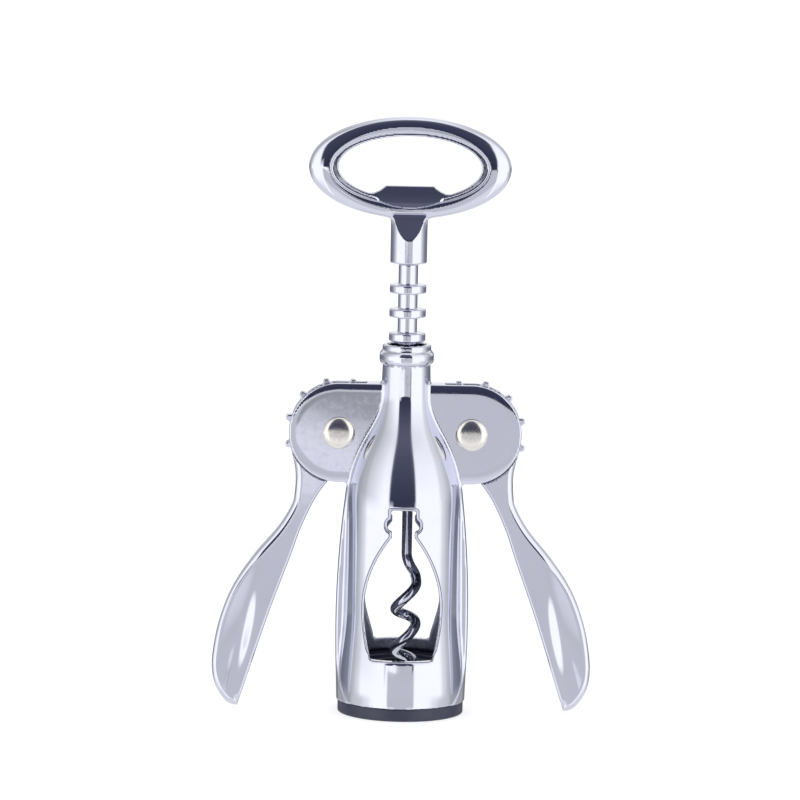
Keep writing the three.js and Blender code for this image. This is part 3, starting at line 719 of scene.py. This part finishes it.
def handleField(sizes):
    outside = outlineField(ellipseOutline(sizes["outside"], sizes["middle"]), reach=8.0)
    inside = outlineField(ellipseOutline(sizes["inside"], sizes["middle"]), reach=8.0)
    hole = outlineField(ellipseOutline(sizes["hole"], sizes["middle"]))
    bed = outlineField(ellipseOutline(sizes["tongueBed"], sizes["middle"]))
    tongueShape, web = outlineField(tongueOutline(sizes)), outlineField(webOutline(sizes))
    edges, fillets = sizes["edges"], sizes["fillets"]
    thin, rise, curl = sizes["tongueFace"]
    fadeFrom, fadeTo = sizes["tongueFade"]
    deep, shallow = sizes["tongueDeep"], sizes["ledgeHalf"] - 0.1
    (facetY, facetZ), (topY, topZ) = sizes["facetFoot"], sizes["facetTop"]
    lean = math.hypot(topZ - facetZ, facetY - topY)
    bore, boreTop = sizes["bore"]

    def field(x, y, z):
        y = np.abs(y)
        outer, inner = -outside(x, z), inside(x, z)
        crest = np.interp(outer + inner, *zip(*sizes["crest"].items()))
        height = sizes["rimHalf"] - sizes["crown"] * np.maximum(crest - outer, 0) ** 2
        height = height - sizes["inwardSlope"] * np.maximum(outer - crest, 0)
        rim = roundCut(-outer, y - height, edges["rim"])
        rim = roundCut(rim, -inner, edges["inner"])
        within = outside(x, z) + sizes["ledgeInset"]
        ledge = roundCut(np.maximum(y - sizes["ledgeHalf"], within), -hole(x, z), edges["ledge"])
        ring = roundJoin(rim, ledge, fillets["ledge"])

        share = np.clip((sizes["tongueTop"] - z) / sizes["tongueDrop"], -0.1, 1.1)
        plane = thin + rise * share + curl * share ** 4
        fade = np.clip((np.abs(x) - fadeFrom) / (fadeTo - fadeFrom), 0, 1)
        edge = deep + (shallow - deep) * fade ** 2 * (3 - 2 * fade)
        tongue = roundCut(tongueShape(x, z), y - np.minimum(plane, edge), edges["tongue"])
        solid = roundJoin(ring, np.maximum(tongue, within), fillets["tongue"])
        above = np.maximum(np.maximum(plane - y, bed(x, z)), z - sizes["tongueTop"])
        solid = roundCut(solid, -above, edges["bed"])

        radius = np.hypot(x, y)
        facet = ((y - facetY) * (topZ - facetZ) + (z - facetZ) * (facetY - topY)) / lean
        stem = roundCut(radius - sizes["stemRadius"], sizes["foot"] - z, edges["foot"])
        stem = roundCut(np.maximum(stem, z - sizes["stemTop"]), facet, edges["facet"])
        webbing = roundCut(web(x, z), y - topY, edges["web"])
        solid = roundJoin(solid, roundJoin(stem, webbing, fillets["web"]), fillets["stem"])
        shield = np.maximum(np.maximum(-facet, z - topZ), np.abs(x) - sizes["facetHalf"])
        solid = roundCut(solid, -shield, edges["facet"])
        return roundCut(solid, -np.maximum(radius - bore, z - boreTop), edges["bore"])

    return field


skin = castSkin(handleField(handle), *handle["corners"], handle["gridStep"])
handleCasting = makePiece("handle_casting", skin, [brightChrome])
fitPiece(handleCasting, "spindle", "casting", "handle")
print("handle made")


# Wings

wingSizes = {
    "reach": 36.8,
    "drop": 83.1,
    "armHalf": 2.7,
    "armEdge": 0.8,
    "armStart": (15.1, 0.15),
    "border": (2.1, 0.19),
    "headHalf": 1.6,
    "headEdge": 0.3,
    "headReach": 17.0,
    "tipRadius": 16.4,
    "rootRadius": 13.4,
    "toothTip": 2.0,
    "toothRoot": 3.7,
    # a tooth's rounding: how far below its top, at which share of its half width
    "tipCurve": ((0.7, 1.0), (0.2, 0.8), (0.0, 0.4)),
    "firstTooth": -45.0,
    "positions": 12,
    "teeth": 9,
    "hole": 2.8,
    "dishDepth": 0.9,
    "dishMiddle": (29.4, 60.0),
    "dishLean": 10.8,
    "dishHalfLength": 28.0,
    "dishHalfWidths": (5.6, 9.0),
    "corners": ((2.6, -3.2, 0.2), (57.3, 3.2, 101.5)),
    "gridStep": 0.36,
}

# Places along the wing in shares of its reach outwards and its drop, from the pivot.
outerEdge = [
    (0.404, 0.030), (0.381, 0.075), (0.356, 0.118), (0.345, 0.160), (0.348, 0.213), (0.372, 0.265),
    (0.482, 0.349), (0.682, 0.457), (0.841, 0.566), (0.940, 0.680), (0.990, 0.790), (0.999, 0.873),
    (0.962, 0.937), (0.880, 0.987),
]
innerEdge = [(0.775, 0.980), (0.553, 0.674), (0.378, 0.457), (0.294, 0.349), (0.181, 0.241), (0.067, 0.168)]
armRoots = [(0.22, 0.03), (-0.03, 0.06)]
wingTip = (0.8, 1)
farInside = [(-0.6, 1.1), (-0.6, -0.1), (0.42, -0.1)]


def wingPlaces(shares):
    pivotX, pivotZ = casting["pivot"]
    return [(pivotX + out * wingSizes["reach"], pivotZ - down * wingSizes["drop"]) for out, down in shares]


def armOutline():
    edge = wingPlaces(outerEdge + [wingTip] + innerEdge)
    outer, inner = wingPlaces(armRoots)
    return np.vstack([trace(outer, edge[0]), throughPoints(edge), trace(edge[-1], inner, outer)])


# the arm's outer side alone, closed far inside
def armOuterSide():
    edge = wingPlaces(outerEdge + [wingTip, innerEdge[0]])
    return np.vstack([throughPoints(edge), trace(edge[-1], *wingPlaces(farInside), edge[0])])


def gearOutline(sizes):
    pivotX, pivotZ = casting["pivot"]
    tip, root = sizes["tipRadius"], sizes["rootRadius"]
    half, foot = sizes["toothTip"] / 2 / tip, sizes["toothRoot"] / 2 / root
    flank = [(root, foot)] + [(tip - below, share * half) for below, share in sizes["tipCurve"]]
    step = 2 * math.pi / sizes["positions"]
    alongGap = np.linspace(0.25, 0.75, 7)
    corners = []
    for i in range(sizes["positions"]):
        angle = math.radians(sizes["firstTooth"]) + i * step
        if i < sizes["teeth"]:
            corners += [(radius, angle - aside) for radius, aside in flank]
            corners += [(radius, angle + aside) for radius, aside in flank[::-1]]
        corners += [(root, angle + share * step) for share in alongGap]
    return np.array([(pivotX - r * math.cos(a), pivotZ + r * math.sin(a)) for r, a in corners])


def wingField(sizes):
    arm, outerSide = outlineField(armOutline()), outlineField(armOuterSide())
    gear = outlineField(gearOutline(sizes))
    pivotX, pivotZ = casting["pivot"]
    middleX, middleZ = pivotX + sizes["dishMiddle"][0], pivotZ - sizes["dishMiddle"][1]
    lean = math.radians(sizes["dishLean"])
    armStart, startEdge = sizes["armStart"]
    borderWidth, borderCurve = sizes["border"]
    innerHalf, outerHalf = sizes["dishHalfWidths"]

    def field(x, y, z):
        y = np.abs(y)
        fromPivot = np.hypot(x - pivotX, z - pivotZ)
        across = (x - middleX) * math.cos(lean) + (z - middleZ) * math.sin(lean)
        along = (x - middleX) * math.sin(lean) - (z - middleZ) * math.cos(lean)
        across = across / np.where(across < 0, innerHalf, outerHalf)
        inset = np.clip(1 - across ** 2 - (along / sizes["dishHalfLength"]) ** 2, 0, 1)
        depth = sizes["dishDepth"] * inset ** 2
        border = borderCurve * np.clip(borderWidth + outerSide(x, z), 0, borderWidth) ** 2
        blade = roundCut(arm(x, z), y - (sizes["armHalf"] - depth - border), sizes["armEdge"])
        blade = roundCut(blade, armStart - fromPivot, startEdge)
        head = np.minimum(gear(x, z), np.maximum(arm(x, z), fromPivot - sizes["headReach"]))
        head = roundCut(head, y - sizes["headHalf"], sizes["headEdge"])
        return np.maximum(np.minimum(blade, head), sizes["hole"] - fromPivot)

    return field


points, faces, normals = castSkin(wingField(wingSizes), *wingSizes["corners"], wingSizes["gridStep"])
rightWing = makePiece("right_wing_casting", (points, faces, normals), [brightChrome])
fitPiece(rightWing, "right_arm", "casting", "right_wing")
toLeft = (-1, 1, 1)
leftWing = makePiece("left_wing_casting", (points * toLeft, faces[:, ::-1], normals * toLeft), [brightChrome])
fitPiece(leftWing, "left_arm", "casting", "left_wing")
print("wings made")


# Turned pieces

# Corners as radius, height and edge: the collar under the skirt, and the sleeve with its stop.
footRing = {
    "collarFoot": (18.75, 0.0, 0.5),
    "collarTop": (18.75, 3.7, 0.25),
    "sleeveFoot": (15.95, 3.7, 0.0),
    "sleeveTop": (15.95, 15.1, 0.0),
    "stopTop": (12.4, 15.1, 0.4),
    "stopSeat": (12.4, 13.5, 0.4),
    "boreTop": (15.2, 13.5, 0.0),
    "boreFoot": (15.2, 0.0, 0.45),
}
ringProfile = rounded(footRing, step=0.4)
ring = makePiece("foot_ring_moulding", turnedSkin(ringProfile, 160), [blackMoulding])
fitPiece(ring, "frame", "moulding", "foot_ring")

# The dome's two places are measured in from the head's edge and down from its top.
rivetSizes = {
    "shank": 2.5,
    "head": 4.8,
    "seat": 3.6,
    "height": 1.7,
    "edge": 0.35,
    "underEdge": 0.15,
    "dome": ((0.25, 0.35), (2.1, 0.02)),
    "weld": 0.002,
}


def rivetProfile(sizes):
    shank, head, seat = sizes["shank"], sizes["head"], sizes["seat"]
    top, rim = seat + sizes["height"], (head, seat + sizes["edge"])
    dome = [(head - inwards, top - below) for inwards, below in sizes["dome"]]
    half = trace(
        (shank, 0), (shank, seat), (head - sizes["underEdge"], seat), [(head, seat), rim],
        dome + [(0.0, top)], step=0.2,
    )
    half = np.vstack([half, [(0.0, top)]])
    lower = (half[1:] * (1, -1))[::-1]
    return np.vstack([lower, half])


def rivet(name, x, node):
    points, faces, normals = turnedSkin(rivetProfile(rivetSizes), 64, ring=False)
    turn = np.array([[1, 0, 0], [0, 0, 1], [0, -1, 0]], float)  # from along Z to along Y
    points, normals = points @ turn.T, normals @ turn.T
    pivotX, pivotZ = casting["pivot"]
    piece = makePiece(name, (points + (math.copysign(pivotX, x), 0, pivotZ), faces, normals), [satinNickel])
    closePoles(piece)
    fitPiece(piece, "frame", "rivet", node)


# the points of a turned piece that lie on its line become one
def closePoles(piece):
    shape = bmesh.new()
    shape.from_mesh(piece.data)
    bmesh.ops.remove_doubles(shape, verts=shape.verts, dist=rivetSizes["weld"] * mm)
    shape.to_mesh(piece.data)
    shape.free()


rivet("left_rivet_turned", -1, "left_rivet")
rivet("right_rivet_turned", 1, "right_rivet")

collarSizes = {
    "outerFoot": (2.9, 70.95, 0.3),
    "outerTop": (2.9, 72.95, 0.3),
    "boreTop": (1.65, 72.95, 0.0),
    "boreFoot": (1.65, 70.95, 0.0),
}
collar = makePiece("shank_collar_turned", turnedSkin(rounded(collarSizes), 48), [polishedSteel])
fitPiece(collar, "spindle", "steel", "shank_collar")
print("turned pieces made")


# Geometry Nodes

def newTree(name, inputs):
    tree = bpy.data.node_groups.new(name, "GeometryNodeTree")
    tree.interface.new_socket("Geometry", in_out="INPUT", socket_type="NodeSocketGeometry")
    for label, kind in inputs.items():
        tree.interface.new_socket(label, in_out="INPUT", socket_type=kind)
    tree.interface.new_socket("Geometry", in_out="OUTPUT", socket_type="NodeSocketGeometry")
    return tree, addNode(tree, "NodeGroupInput").outputs


# runs a tree with its inputs and keeps what it makes as a plain mesh
def bakeTree(name, tree, values):
    holder = addObject(name + "_tree", bpy.data.meshes.new(name))
    modifier = holder.modifiers.new("nodes", "NODES")
    modifier.node_group = tree
    for item in tree.interface.items_tree:
        if item.in_out == "INPUT" and item.name in values:
            modifier[item.identifier] = values[item.name]
    evaluated = holder.evaluated_get(bpy.context.evaluated_depsgraph_get())
    made = bpy.data.meshes.new_from_object(evaluated)
    holder.modifiers.remove(modifier)
    bpy.data.objects.remove(holder)
    made.name = name
    print(name, len(made.polygons), "faces")
    return addObject(name, made)


# Rack: one link of the sleeve with its ring, repeated along the axis and welded

rack = {
    "pitch": 7.2,
    "count": 8,
    "lowestRing": 76.95,
    "core": 2.9,
    "ring": 5.43,
    "thickness": 2.6,
    "fillet": 0.35,
    "ringEdge": 0.55,
    "bore": 1.85,
    "foot": 73.25,
    "footEdge": 0.08,
    "top": 134.7,
    "topEdge": 0.3,
    "sides": 72,
    "weld": 0.01,
}


def rackLink(sizes):
    core, ring, half = sizes["core"], sizes["ring"], sizes["thickness"] / 2
    low, fillet, edge = -sizes["pitch"] / 2, sizes["fillet"], sizes["ringEdge"]
    profile = trace(
        (core, low), (core, -half - fillet), [(core, -half), (core + fillet, -half)], (ring - edge, -half),
        [(ring, -half), (ring, -half + edge)], (ring, half - edge), [(ring, half), (ring - edge, half)],
        (core + fillet, half), [(core, half), (core, half + fillet)], (core, -low),
    )
    return np.vstack([profile, [(core, -low)]])


def rackEnds(sizes):
    core, bore, foot, top = (sizes[key] for key in ("core", "bore", "foot", "top"))
    edge, footEdge = sizes["topEdge"], sizes["footEdge"]
    firstLow = sizes["lowestRing"] - sizes["pitch"] / 2
    lastHigh = firstLow + sizes["count"] * sizes["pitch"]
    ends = trace(
        (core, lastHigh), (core, top - edge), [(core, top), (core - edge, top)], (bore, top), (bore, foot),
        (core - footEdge, foot), [(core, foot), (core, foot + footEdge)], step=0.3,
    )
    return np.vstack([ends, [(core, firstLow)]])


rackInputs = {
    "Link": "NodeSocketObject", "Ends": "NodeSocketObject", "Count": "NodeSocketInt",
    "Pitch": "NodeSocketFloat", "First Height": "NodeSocketFloat", "Material": "NodeSocketMaterial",
}
tree, given = newTree("rack rings", rackInputs)
start = addNode(tree, "ShaderNodeCombineXYZ", Z=given["First Height"])
offset = addNode(tree, "ShaderNodeCombineXYZ", Z=given["Pitch"])
places = {"Start_Location": start, "Offset": offset}
line = addNode(tree, "GeometryNodeMeshLine", Count=given["Count"], **places)
link = addNode(tree, "GeometryNodeObjectInfo", Object=given["Link"])
ends = addNode(tree, "GeometryNodeObjectInfo", Object=given["Ends"])
links = addNode(tree, "GeometryNodeInstanceOnPoints", Points=line, Instance=link.outputs["Geometry"])
joined = addNode(tree, "GeometryNodeJoinGeometry")
tree.links.new(links.outputs[0], joined.inputs[0])
tree.links.new(ends.outputs["Geometry"], joined.inputs[0])
real = addNode(tree, "GeometryNodeRealizeInstances", Geometry=joined)
welded = addNode(tree, "GeometryNodeMergeByDistance", Geometry=real, Distance=rack["weld"] * mm)
smooth = addNode(tree, "GeometryNodeSetShadeSmooth", Geometry=welded)
finish = addNode(tree, "GeometryNodeSetMaterial", Geometry=smooth, Material=given["Material"])
addNode(tree, "NodeGroupOutput", Geometry=finish)

linkPiece = makePiece("rack_link", turnedSkin(rackLink(rack), rack["sides"], ring=False), [])
endsPiece = makePiece("rack_ends", turnedSkin(rackEnds(rack), rack["sides"], ring=False), [])
sleeve = bakeTree("rack_sleeve_turned", tree, {
    "Link": linkPiece, "Ends": endsPiece, "Count": rack["count"], "Pitch": rack["pitch"] * mm,
    "First Height": rack["lowestRing"] * mm, "Material": brightChrome,
})
bpy.data.objects.remove(linkPiece)
bpy.data.objects.remove(endsPiece)
fitPiece(sleeve, "rack", "rack", "rack_sleeve")
print("rack made")


# Worm: a wire along the axis that winds out into a right-handed helix and ends in a point

worm = {
    "Wire Radius": 1.55,
    "Worm Radius": 3.05,
    "Pitch": 12.4,
    "Turn Height": 38.0,
    "Blend": 10.0,
    "Tip": 9.3,
    "Top": 147.0,
    "Point Start": -2.0,
    "Point Length": 7.0,
    "Drift": 1.1,
    "Drift Foot": 60.0,
    "Drift Top": 70.0,
}
wormSkew = 0.3  # how far each turn leans over sideways
wireRows, wireSides = 760, 28
wormInputs = {name: "NodeSocketFloat" for name in [*worm, "Skew"]} | {"Material": "NodeSocketMaterial"}
tree, given = newTree("worm wire", wormInputs)
low = addNode(tree, "ShaderNodeCombineXYZ", Z=given["Tip"])
high = addNode(tree, "ShaderNodeCombineXYZ", Z=given["Top"])
wire = addNode(tree, "GeometryNodeCurvePrimitiveLine", Start=low, End=high)
fine = addNode(tree, "GeometryNodeResampleCurve", Curve=wire, Count=wireRows)
where = addNode(tree, "GeometryNodeInputPosition")
height = addNode(tree, "ShaderNodeSeparateXYZ", Vector=where).outputs["Z"]
rise = mathNode(tree, "SUBTRACT", height, given["Turn Height"])
above = mathNode(tree, "MAXIMUM", rise, 0.0)
spread = mapNode(tree, above, 0.0, given["Blend"], 1.0, 0.0, "SMOOTHSTEP")
angle = product(tree, mathNode(tree, "DIVIDE", rise, given["Pitch"]), 2 * math.pi)
isAbove = mathNode(tree, "GREATER_THAN", rise, 0.0)
sideways = mathNode(tree, "COSINE", angle)
swing = addNode(tree, "ShaderNodeMix", Factor=isAbove, in_2=sideways, in_3=spread).outputs[0]
# the wire isn't quite true to the axis
drift = mapNode(tree, height, given["Drift Foot"], given["Drift Top"], given["Drift"], 0.0, "SMOOTHSTEP")
outX = mathNode(tree, "ADD", product(tree, given["Worm Radius"], swing), drift)
outY = product(tree, given["Worm Radius"], spread, mathNode(tree, "SINE", angle))
lean = product(tree, swing, spread, given["Worm Radius"], given["Skew"])
wound = addNode(tree, "ShaderNodeCombineXYZ", X=outX, Y=outY, Z=mathNode(tree, "ADD", height, lean))
placed = addNode(tree, "GeometryNodeSetPosition", Geometry=fine, Position=wound)
along = addNode(tree, "GeometryNodeSplineParameter").outputs["Length"]
taper = mapNode(tree, along, given["Point Start"], given["Point Length"], curve="SMOOTHERSTEP")
section = addNode(tree, "GeometryNodeCurvePrimitiveCircle", Resolution=wireSides, Radius=given["Wire Radius"])
tube = addNode(
    tree, "GeometryNodeCurveToMesh", Curve=placed, Profile_Curve=section,
    Scale=taper, Fill_Caps=True,
)
smooth = addNode(tree, "GeometryNodeSetShadeSmooth", Geometry=tube)
real = addNode(tree, "GeometryNodeRealizeInstances", Geometry=smooth)
finish = addNode(tree, "GeometryNodeSetMaterial", Geometry=real, Material=given["Material"])
addNode(tree, "NodeGroupOutput", Geometry=finish)
wormSizes = {name: size * mm for name, size in worm.items()}
wormWire = bakeTree("worm_wire", tree, {**wormSizes, "Skew": wormSkew, "Material": polishedSteel})
fitPiece(wormWire, "spindle", "steel", "worm")
print("worm made")

# Pin through the stem: the CAD solid has its shape, and takes the polished steel.
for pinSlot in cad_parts["handle_pin"].material_slots:
    pinSlot.material = polishedSteel


# Studio

studio = {
    "floorSize": 6000.0,
    "cameraBack": 1950.0,
    "cameraHeight": 370.0,
    "cameraAside": -1.76,
    "cameraTilt": 8.06,
    "cameraRoll": 1.1,
    "lens": 298.0,
    "sensor": 36.0,
    "clipEnd": 100.0,
    "darkAside": 3.0,
    "horizon": (-0.1, 0.03),
    "zenithTone": (1.2, 1.2, 1.22, 1.0),
    "groundTone": (0.95, 0.95, 0.97, 1.0),
    "roomTone": (0.9, 0.9, 0.92, 1.0),
    "roomLight": 0.9,
    "floorTone": (0.62, 0.62, 0.64, 1.0),
    "floorLight": 0.62,
    "floorUnseen": (0.8, 0.8, 0.82, 1.0),
}
white = (1.0, 1.0, 1.0, 1.0)

# How bright the studio is around the object, from its front (0) round to its back (1):
# tall softboxes at both sides, and between them the dark room behind the camera.
darkRoom, darkAbove, darkTop = colour("#36384c"), colour("#424459"), colour("#737384")
aroundLow = [
    (0.0, darkRoom), (0.11, darkRoom), (0.13, 1.4), (0.27, 1.4), (0.37, 1.04), (0.43, 0.84),
    (0.53, 0.76), (0.6, 0.5), (0.8, 0.48), (0.86, 0.25), (0.93, 0.25), (0.96, 1.0),
]
aroundMiddle = [
    (0.0, darkRoom), (0.11, darkRoom), (0.13, 1.4), (0.42, 1.4), (0.49, 0.95), (0.54, 0.7),
    (0.6, (0.43, 0.45, 0.49, 1.0)), (0.66, (0.29, 0.31, 0.36, 1.0)), (0.74, (0.22, 0.23, 0.28, 1.0)),
    (0.93, (0.13, 0.14, 0.18, 1.0)), (0.96, 1.0),
]
aroundHigh = [
    (0.0, darkAbove), (0.135, darkAbove), (0.165, 1.4), (0.42, 1.4), (0.49, 1.0), (0.6, 0.72),
    (0.65, 0.5), (0.73, 0.8), (0.8, 1.1), (0.86, 0.3), (0.93, 0.3), (0.96, 1.0),
]
aroundTop = [(0.0, darkTop), (0.1, darkTop), (0.2, 0.88), (0.58, 0.8), (0.66, 0.6), (0.8, 1.0)]

# Where one level of the studio passes into the next, by how steeply a ray climbs or drops.
climbToTop = [(0.05, 0.0), (0.36, 0.2), (0.6, 0.38), (0.8, 0.8), (0.92, 1.0)]
climbToZenith = [(0.9, 0.0), (0.97, 1.0)]
dropToLow = [(0.148, 0.0), (0.178, 1.0)]
dropToGround = [(0.3, 0.0), (0.5, 1.0)]

# To the left the room stands nearer and dims the softbox above the horizon.
leftShade = [(0.24, 1.0), (0.34, 0.82), (0.44, 0.64), (0.56, 0.66), (0.66, 0.82), (0.75, 1.0)]

# The table in front, seen only by the metal: how bright it is from its left to its right,
# near the object and at its far edge, where the camera's stand leaves a dark line.
table = {
    "away": 1500.0,
    "half": 800.0,
    "low": -900.0,
    "tint": (1.0, 1.0, 1.045, 1.0),
    "sides": (1.4, 1.4, 1.4, 1.0),
    "middle": (0.71, 0.71, 0.745, 1.0),
}
acrossNear = [(0.0, 1.0), (0.05, 1.0), (0.11, 0.0), (0.89, 0.0), (0.95, 1.0)]
acrossFar = [
    (0.0, 1.4), (0.32, 1.4), (0.4, 0.86), (0.5, table["middle"]), (0.8, 0.76), (0.84, 0.76), (0.86, 0.2),
    (0.9, 0.2), (0.93, 1.4),
]
downNear = [(0.05, 0.72), (0.2, 0.74), (0.31, 0.7), (0.38, 0.86), (0.5, 1.0)]
downToFar = [(0.038, 1.0), (0.048, 0.0)]

# A lamp lights a patch of the table left of the middle, with a slanted far edge, which the
# left ear mirrors. It is lit for what stands as far off as the ears' faces and not nearer,
# so that the skirt doesn't mirror it. Right of "from" its far edge moves by "slope".
patch = {"distance": 1504.0, "from": 0.45, "slope": -0.5, "offset": 0.239}
patchAcross = [(0.39, 0.0), (0.406, 1.0), (0.495, 1.0), (0.502, 0.0)]
patchDown = [(0.12, 0.42), (0.136, 0.46), (0.151, 0.95), (0.162, 1.0)]
patchEnd = [(0.184, 1.0), (0.196, 0.0)]


def lightOf(tree, tone, strength=1.0, kind="ShaderNodeBackground"):
    return addNode(tree, kind, Color=tone, Strength=strength).outputs[0]


def mixShaders(tree, share, first, second):
    return addNode(tree, "ShaderNodeMixShader", Fac=share, in_1=first, in_2=second).outputs[0]


def shareOfTurn(tree, turn):
    return mathNode(tree, "DIVIDE", mathNode(tree, "ABSOLUTE", turn), math.pi)


def studioWorld():
    world = bpy.data.worlds.new("soft studio")
    bpy.context.scene.world = world
    world.use_nodes = True
    tree = world.node_tree
    tree.nodes.clear()
    way = addNode(tree, "ShaderNodeTexCoord").outputs["Generated"]
    parts = addNode(tree, "ShaderNodeSeparateXYZ", Vector=way).outputs
    turn = mathNode(tree, "ARCTAN2", parts["X"], product(tree, parts["Y"], -1.0))
    around = shareOfTurn(tree, turn)
    aside = shareOfTurn(tree, mathNode(tree, "ADD", turn, math.radians(studio["darkAside"])))
    low, middle = rampNode(tree, around, aroundLow, "EASE"), rampNode(tree, around, aroundMiddle, "EASE")
    high, top = rampNode(tree, aside, aroundHigh, "EASE"), rampNode(tree, aside, aroundTop, "EASE")
    climb, drop = parts["Z"], product(tree, parts["Z"], -1.0)
    high = mixTones(tree, rampNode(tree, climb, climbToTop), high, top)
    high = mixTones(tree, rampNode(tree, climb, climbToZenith), high, studio["zenithTone"])
    leftwards = mathNode(tree, "DIVIDE", turn, -math.pi, clamp=True)
    high = mixTones(tree, 1.0, high, rampNode(tree, leftwards, leftShade), "MULTIPLY")
    low = mixTones(tree, rampNode(tree, drop, dropToLow), middle, low)
    low = mixTones(tree, rampNode(tree, drop, dropToGround), low, studio["groundTone"])
    horizon = mapNode(tree, climb, *studio["horizon"])
    rays = addNode(tree, "ShaderNodeLightPath").outputs
    pattern = lightOf(tree, mixTones(tree, horizon, low, high))
    room = lightOf(tree, studio["roomTone"], studio["roomLight"])
    soft = mixShaders(tree, rays["Is Glossy Ray"], room, pattern)
    seen = mathNode(tree, "MAXIMUM", rays["Is Camera Ray"], rays["Is Transmission Ray"])
    addNode(tree, "ShaderNodeOutputWorld", Surface=mixShaders(tree, seen, soft, lightOf(tree, white)))


# a flat piece of the studio with four corners, in metres
def makeCard(name, corners, material):
    mesh = bpy.data.meshes.new(name)
    mesh.from_pydata(corners, [], [(0, 1, 2, 3)])
    mesh.materials.append(material)
    return addObject(name, mesh)


def studioFloor():
    material, tree = newMaterial("pale studio floor")
    rays = addNode(tree, "ShaderNodeLightPath").outputs
    matt = addNode(tree, "ShaderNodeBsdfDiffuse", Color=studio["floorTone"]).outputs[0]
    glow = lightOf(tree, white, studio["floorLight"], "ShaderNodeEmission")
    shown = addNode(tree, "ShaderNodeAddShader", in_0=matt, in_1=glow).outputs[0]
    unseen = addNode(tree, "ShaderNodeBsdfDiffuse", Color=studio["floorUnseen"]).outputs[0]
    surface = mixShaders(tree, rays["Is Camera Ray"], unseen, shown)
    addNode(tree, "ShaderNodeOutputMaterial", Surface=surface)
    half = studio["floorSize"] * mm / 2
    corners = [(-half, -half, 0), (half, -half, 0), (half, half, 0), (-half, half, 0)]
    floor = makeCard("floor", corners, material)
    floor.visible_glossy = False  # the metal mirrors the studio, table and all, from the world


# the table in front, as a card that only reflections see
def tableCard():
    half, low, away = (size * mm for size in (table["half"], table["low"], -table["away"]))
    material, tree = newMaterial("mirrored table top")
    parts = addNode(tree, "ShaderNodeSeparateXYZ", Vector=objectPlace(tree)).outputs
    across, down = mapNode(tree, parts["X"], -half, half), mapNode(tree, parts["Z"], 0.0, low)
    shift = mathNode(tree, "MAXIMUM", across, patch["from"])
    shift = mathNode(tree, "MULTIPLY_ADD", shift, patch["slope"], patch["offset"])
    slanted = mathNode(tree, "ADD", down, shift)
    length = addNode(tree, "ShaderNodeLightPath").outputs["Ray Length"]
    isFar = mathNode(tree, "GREATER_THAN", length, patch["distance"] * mm)
    lit = product(tree, rampNode(tree, across, patchAcross), rampNode(tree, down, patchEnd), isFar)
    level = mixTones(tree, lit, rampNode(tree, down, downNear), rampNode(tree, slanted, patchDown))
    tone = mixTones(tree, 1.0, level, table["tint"], "MULTIPLY")
    near = mixTones(tree, rampNode(tree, across, acrossNear), tone, table["sides"])
    shown = mixTones(tree, rampNode(tree, down, downToFar), near, rampNode(tree, across, acrossFar))
    addNode(tree, "ShaderNodeOutputMaterial", Surface=lightOf(tree, shown, kind="ShaderNodeEmission"))
    corners = [(-half, away, low), (half, away, low), (half, away, 0), (-half, away, 0)]
    card = makeCard("table_card", corners, material)
    card.visible_camera = card.visible_diffuse = card.visible_shadow = card.visible_transmission = False


def addCamera():
    data = bpy.data.cameras.new("camera")
    data.lens = studio["lens"]
    data.sensor_width = studio["sensor"]
    data.clip_end = studio["clipEnd"]
    camera = addObject("camera", data)
    tilt = Matrix.Rotation(math.radians(90 - studio["cameraTilt"]), 4, "X")
    roll = Matrix.Rotation(math.radians(studio["cameraRoll"]), 4, "Z")
    place = Vector((studio["cameraAside"], -studio["cameraBack"], studio["cameraHeight"])) * mm
    camera.matrix_world = Matrix.Translation(place) @ tilt @ roll
    bpy.context.scene.camera = camera


studioWorld()
studioFloor()
tableCard()
addCamera()
bpy.context.scene.view_settings.view_transform = "Standard"
print("studio made")
